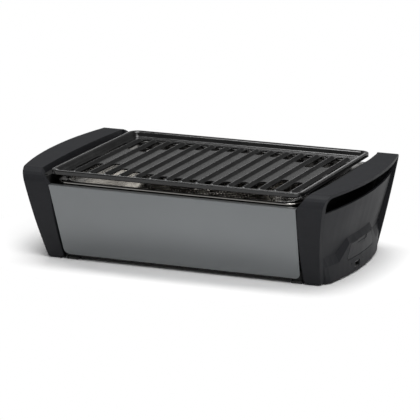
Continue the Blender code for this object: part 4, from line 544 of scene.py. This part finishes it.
def build_grate_ribs():
    """Smooth ribs that rise out of the floor and run out at their ends."""
    section = mirrored(RIB_SECTION_HALF, (0.0, 1.0))
    stations = mirrored(RIB_STATIONS_HALF, (0.0, 1.0))
    base = FLOOR_TOP - RIB_SINK
    height = RIB_TOP - FLOOR_TOP + RIB_SINK
    bm = bmesh.new()
    for x in RIBS:
        rings = []
        for along, rise in stations:
            width = RIB_WIDTH * (RIB_END_WIDTH + (1 - RIB_END_WIDTH) * rise)
            y = along * RIB_LENGTH / 2
            ring = [(x + across * width, y, base + up * rise * height) for across, up in section]
            rings.append(ring)
        loft(bm, rings, around=False)
    ribs = new_piece("grate_ribs", bm, "grate", ENAMEL)
    clean(ribs, 50)


def build_grate_legs():
    """The two low walls that the plate stands on."""
    bm = bmesh.new()
    points = rounded(LEG_HALF_WALL, GRATE_Y - LEG_END_INSET, LEG_CORNER, 3)
    for side in (-1, 1):
        middle = side * (GRATE_X - LEG_INSET - LEG_HALF_WALL)
        moved = [(middle + px, py) for px, py in points]
        rings = [at_height(moved, z) for z in (GRATE_LOW.z, FLOOR_TOP - 0.001)]
        loft(bm, rings, close_last=True, close_first=True)
    legs = new_piece("grate_legs", bm, "grate", ENAMEL)
    clean(legs)


build_grate_plate()
build_grate_ribs()
build_grate_legs()

# The basket: a perforated drum with a rolled rim and a raised floor

BASKET_LOW, BASKET_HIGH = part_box("charcoal_basket")
BASKET_TOP = BASKET_HIGH.z
BASKET_RADIUS = BASKET_HIGH.x - 0.0016
BASKET_FLOOR = BASKET_LOW.z + 0.0135
WALL_LOW = BASKET_FLOOR + 0.0030
WALL_HIGH = BASKET_TOP - 0.0030
BASKET_SIDES = 96
HOLES_ROUND = 124
HOLE_ROWS = 9
HOLE_RADIUS = 0.0011
HOLE_POINTS = 8
HOLE_MERGE = 0.00001
ROLL_STEPS = 8
ROLL_RADIUS = 0.0008
ROLL_RISE = 0.0009
ROLL_DROP = 0.0010


def on_drum(angle, z):
    """A point on the basket's wall."""
    return (BASKET_RADIUS * math.cos(angle), BASKET_RADIUS * math.sin(angle), z)


def perforated_wall():
    """A drum wall whose cells each hold a round hole, in staggered rows."""
    bm = bmesh.new()
    pitch = math.tau / HOLES_ROUND
    row_height = (WALL_HIGH - WALL_LOW) / HOLE_ROWS
    for row in range(HOLE_ROWS):
        z = WALL_LOW + (row + 0.5) * row_height
        for index in range(HOLES_ROUND):
            middle = (index + 0.5 + 0.5 * (row % 2)) * pitch
            outer = []
            inner = []
            for step in range(HOLE_POINTS):
                turn = math.tau * step / HOLE_POINTS
                cos = math.cos(turn)
                sin = math.sin(turn)
                reach = 1 / max(abs(cos), abs(sin))
                cell = on_drum(middle + cos * reach * pitch / 2, z + sin * reach * row_height / 2)
                hole = on_drum(middle + cos * HOLE_RADIUS / BASKET_RADIUS, z + sin * HOLE_RADIUS)
                outer.append(bm.verts.new(cell))
                inner.append(bm.verts.new(hole))
            for step in range(HOLE_POINTS):
                after = (step + 1) % HOLE_POINTS
                bm.faces.new((outer[step], outer[after], inner[after], inner[step]))
    bmesh.ops.remove_doubles(bm, verts=bm.verts, dist=HOLE_MERGE)
    return bm


def turned_sheet(profile):
    """A profile of radius and height turned round the Z axis."""
    bm = bmesh.new()
    rings = []
    for radius, z in profile:
        ring = []
        for index in range(BASKET_SIDES):
            angle = math.tau * index / BASKET_SIDES
            ring.append((radius * math.cos(angle), radius * math.sin(angle), z))
        rings.append(ring)
    loft(bm, rings)
    bmesh.ops.remove_doubles(bm, verts=bm.verts, dist=FINE_MERGE)
    return bm


def basket_piece(name, bm, degrees, wall, replaced=()):
    """One sheet of the basket with its wall."""
    piece = new_piece(name, bm, "basket", PERFORATED, replaced)
    finish_sheet(piece, degrees, wall)


def rim_profile():
    """The wall's top edge and its outward roll."""
    profile = [(BASKET_RADIUS, WALL_HIGH), (BASKET_RADIUS, BASKET_TOP - 0.0020)]
    for step in range(ROLL_STEPS + 1):
        angle = math.pi * (1.0 - step / ROLL_STEPS)
        radius = BASKET_RADIUS + ROLL_RADIUS + ROLL_RADIUS * math.cos(angle)
        profile.append((radius, BASKET_TOP - ROLL_DROP + ROLL_RISE * math.sin(angle)))
    return profile


SKIRT_PROFILE = (
    (BASKET_RADIUS, WALL_LOW),
    (BASKET_RADIUS, BASKET_FLOOR),
    (BASKET_RADIUS, BASKET_LOW.z),
)
BASKET_FLOOR_PROFILE = (
    (BASKET_RADIUS - 0.0012, BASKET_FLOOR + 0.0002),
    (0.066, BASKET_FLOOR + 0.0002),
    (0.0640, BASKET_FLOOR + 0.0012),
    (0.030, BASKET_FLOOR + 0.0012),
    (0.028, BASKET_FLOOR + 0.0004),
    (0.0, BASKET_FLOOR + 0.0004),
)
basket_piece("basket_wall", perforated_wall(), 60, 0.0008, ("charcoal_basket",))
basket_piece("basket_rim", turned_sheet(rim_profile()), 50, 0.0006)
basket_piece("basket_skirt", turned_sheet(SKIRT_PROFILE), 50, 0.0010)
basket_piece("basket_floor", turned_sheet(BASKET_FLOOR_PROFILE), 50, 0.0008)

# The bowl: a rolled lip, rounded walls and the air dome

BOWL_LOW, BOWL_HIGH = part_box("bowl")
BOWL_TOP = BOWL_HIGH.z
BOWL_FLOOR = BOWL_LOW.z + 0.0010
BOWL_CORNER = 0.020
BOWL_WALL = 0.0008
LIP_INSET_Y_MOST = 0.0030
LIP_PROFILE = (
    (0.0, -0.0048, 0.022),
    (0.0, -0.0016, 0.022),
    (0.0003, -0.0007, 0.022),
    (0.0009, -0.0002, 0.022),
    (0.0016, 0.0, 0.0215),
    (0.0040, 0.0, 0.021),
)
SHOULDER_PROFILE = ((0.0, 0.0), (0.0006, -0.0003), (0.0012, -0.0014))
DEPTH_SHARES = (0.25, 0.5, 0.75, 0.88, 0.95, 0.985, 1.0)
BEND_FROM = 0.85
BEND_REACH = 0.0050
WALL_LEAN_X = 0.0150
WALL_LEAN_Y = 0.0170
DOME_PROFILE = ((0.0315, 0.0), (0.0300, 0.0006), (0.0252, 0.0080), (0.0240, 0.0090))


def bowl_rings():
    """The bowl's rings, from the lip's outer edge inward and down to the dome."""
    rings = []
    for inset, drop, corner in LIP_PROFILE:
        inset_y = min(inset, LIP_INSET_Y_MOST)
        points = rounded(BOWL_HIGH.x - inset, BOWL_HIGH.y - inset_y, corner)
        rings.append(at_height(points, BOWL_TOP + drop))
    wall_x = BOWL_HIGH.x - 0.0140
    wall_y = BOWL_HIGH.y - 0.0040
    for inset, drop in SHOULDER_PROFILE:
        points = rounded(wall_x - inset, wall_y - inset * 0.5, BOWL_CORNER)
        rings.append(at_height(points, BOWL_TOP + drop))
    depth = BOWL_TOP - BOWL_FLOOR
    for share in DEPTH_SHARES:
        bend = max(share - BEND_FROM, 0.0) / (1 - BEND_FROM)
        x = wall_x - 0.0012 - WALL_LEAN_X * share - BEND_REACH * bend
        y = wall_y - 0.0006 - WALL_LEAN_Y * share - BEND_REACH * bend
        rings.append(at_height(rounded(x, y, BOWL_CORNER), BOWL_TOP - depth * share))
    for radius, rise in DOME_PROFILE:
        rings.append(at_height(rounded(radius, radius, radius), BOWL_FLOOR + rise))
    return rings


def build_bowl():
    """The polished bowl as one smooth lofted sheet."""
    bm = bmesh.new()
    loft(bm, bowl_rings(), close_last=True)
    bmesh.ops.remove_doubles(bm, verts=bm.verts, dist=FINE_MERGE)
    bowl = new_piece("bowl_shell", bm, "bowl", STEEL, ("bowl",))
    finish_sheet(bowl, 40, BOWL_WALL)


build_bowl()

# Fine rounding on CAD nodes, which keep their own mesh

ROUNDING = {
    "handle_strap_right": 0.0009,
    "handle_strap_left": 0.0009,
    "end_cover_right": 0.0006,
    "end_cover_left": 0.0006,
    "battery_door": 0.0004,
    "front_panel": 0.0003,
    "back_panel": 0.0003,
    "end_liner_right": 0.0004,
    "end_liner_left": 0.0004,
    "speed_knob": 0.0004,
    "usb_socket": 0.0002,
}
for name, width in ROUNDING.items():
    bevel(NODES[name], width, 32)

# Stage, lights and camera

FLOOR_HALF = 12
PAPER = (0.96, 0.96, 0.96, 1)
SHADOW_SQUEEZE = 0.62
SHADOW_FROM = 0.145
SHADOW_TO = 0.215
HORIZON = 0.08
DIFFUSE_CEILING = 0.30
DIFFUSE_LEVELS = (0.592, 0.096)
SHOWN_CEILING = 0.26
SHOWN_LEVELS = (1.0, 0.10)


def background_rays(tree):
    """One for camera, glossy and transmission rays, which see the white background."""
    path = tree.nodes.new("ShaderNodeLightPath").outputs
    seen = maths(tree, "MAXIMUM", path["Is Camera Ray"], path["Is Glossy Ray"])
    return maths(tree, "MAXIMUM", seen, path["Is Transmission Ray"])


def two_way(tree, share, lit, plain, result):
    """Mix two shaders by a share into an output socket."""
    mix = tree.nodes.new("ShaderNodeMixShader")
    tree.links.new(share, mix.inputs[0])
    tree.links.new(lit, mix.inputs[1])
    tree.links.new(plain, mix.inputs[2])
    tree.links.new(mix.outputs[0], result)


def floor_paper():
    """Pale paper that shows as plain white outside the grill's shadow."""
    paper = bpy.data.materials.new("floor_paper")
    paper.use_nodes = True
    tree = paper.node_tree
    shader = tree.nodes["Principled BSDF"]
    shader.inputs["Base Color"].default_value = PAPER
    shader.inputs["Roughness"].default_value = 0.9
    shader.inputs["Specular IOR Level"].default_value = 0.1
    place = tree.nodes.new("ShaderNodeTexCoord").outputs["Object"]
    reach = tree.nodes.new("ShaderNodeVectorMath")
    reach.operation = "LENGTH"
    tree.links.new(squeeze_x(tree, place, SHADOW_SQUEEZE), reach.inputs[0])
    far = remap(tree, reach.outputs["Value"], SHADOW_FROM, SHADOW_TO, 0.0, 1.0)
    white = maths(tree, "MULTIPLY", far, background_rays(tree))
    plain = tree.nodes.new("ShaderNodeEmission")
    result = tree.nodes["Material Output"].inputs["Surface"]
    two_way(tree, white, shader.outputs[0], plain.outputs[0], result)
    return paper


def studio_floor():
    """A wide pale floor."""
    bm = bmesh.new()
    bmesh.ops.create_grid(bm, x_segments=1, y_segments=1, size=FLOOR_HALF)
    floor = add_object("studio_floor", bm)
    floor.data.materials.append(floor_paper())


def graded_background(tree, up, ceiling, levels):
    """A white background whose strength falls from the horizon to the ceiling."""
    made = tree.nodes.new("ShaderNodeBackground")
    made.inputs["Color"].default_value = WHITE
    tree.links.new(remap(tree, up, HORIZON, ceiling, *levels), made.inputs["Strength"])
    return made.outputs[0]


def studio_world():
    """White round the horizon and darker above, as a studio with a dark ceiling."""
    world = bpy.data.worlds.new("studio")
    world.use_nodes = True
    tree = world.node_tree
    tree.nodes.clear()
    place = tree.nodes.new("ShaderNodeTexCoord")
    split = tree.nodes.new("ShaderNodeSeparateXYZ")
    tree.links.new(place.outputs["Generated"], split.inputs[0])
    lit = graded_background(tree, split.outputs["Z"], DIFFUSE_CEILING, DIFFUSE_LEVELS)
    shown = graded_background(tree, split.outputs["Z"], SHOWN_CEILING, SHOWN_LEVELS)
    result = tree.nodes.new("ShaderNodeOutputWorld").inputs["Surface"]
    two_way(tree, background_rays(tree), lit, shown, result)
    bpy.context.scene.world = world


def softbox(name, place, target, size_x, size_y, power):
    """A rectangular area light aimed at a point."""
    light = bpy.data.lights.new(name, "AREA")
    light.shape = "RECTANGLE"
    light.size = size_x
    light.size_y = size_y
    light.energy = power
    lamp = bpy.data.objects.new(name, light)
    lamp.location = place
    lamp.rotation_mode = "QUATERNION"
    lamp.rotation_quaternion = (Vector(target) - Vector(place)).to_track_quat("-Z", "Y")
    bpy.context.scene.collection.objects.link(lamp)


CAMERA_TURN = math.radians(22.61)
CAMERA_RISE = math.radians(13.63)
CAMERA_AIM = Vector((0, 0, 0.08))
CAMERA_DISTANCE = 3.6406


def photo_camera():
    """The camera at the photograph's place."""
    level = math.cos(CAMERA_RISE)
    back = Vector((
        math.sin(CAMERA_TURN) * level,
        -math.cos(CAMERA_TURN) * level,
        math.sin(CAMERA_RISE),
    ))
    data = bpy.data.cameras.new("camera")
    data.sensor_width = 36
    data.lens = 243.71
    data.shift_x = -0.00583
    data.shift_y = -0.04169
    data.clip_end = 60
    camera = bpy.data.objects.new("camera", data)
    bpy.context.scene.collection.objects.link(camera)
    camera.location = CAMERA_AIM + back * CAMERA_DISTANCE
    camera.rotation_mode = "QUATERNION"
    camera.rotation_quaternion = (-back).to_track_quat("-Z", "Y")
    bpy.context.scene.camera = camera


studio_floor()
studio_world()
softbox("key_light", (1.2, -1.3, 1.7), (0, 0, 0.05), 1.4, 1.1, 38)
softbox("top_light", (-0.1, 0.26, 2.3), (0, 0, 0), 1.6, 1.1, 52)
photo_camera()
bpy.context.scene.view_settings.view_transform = "Standard"
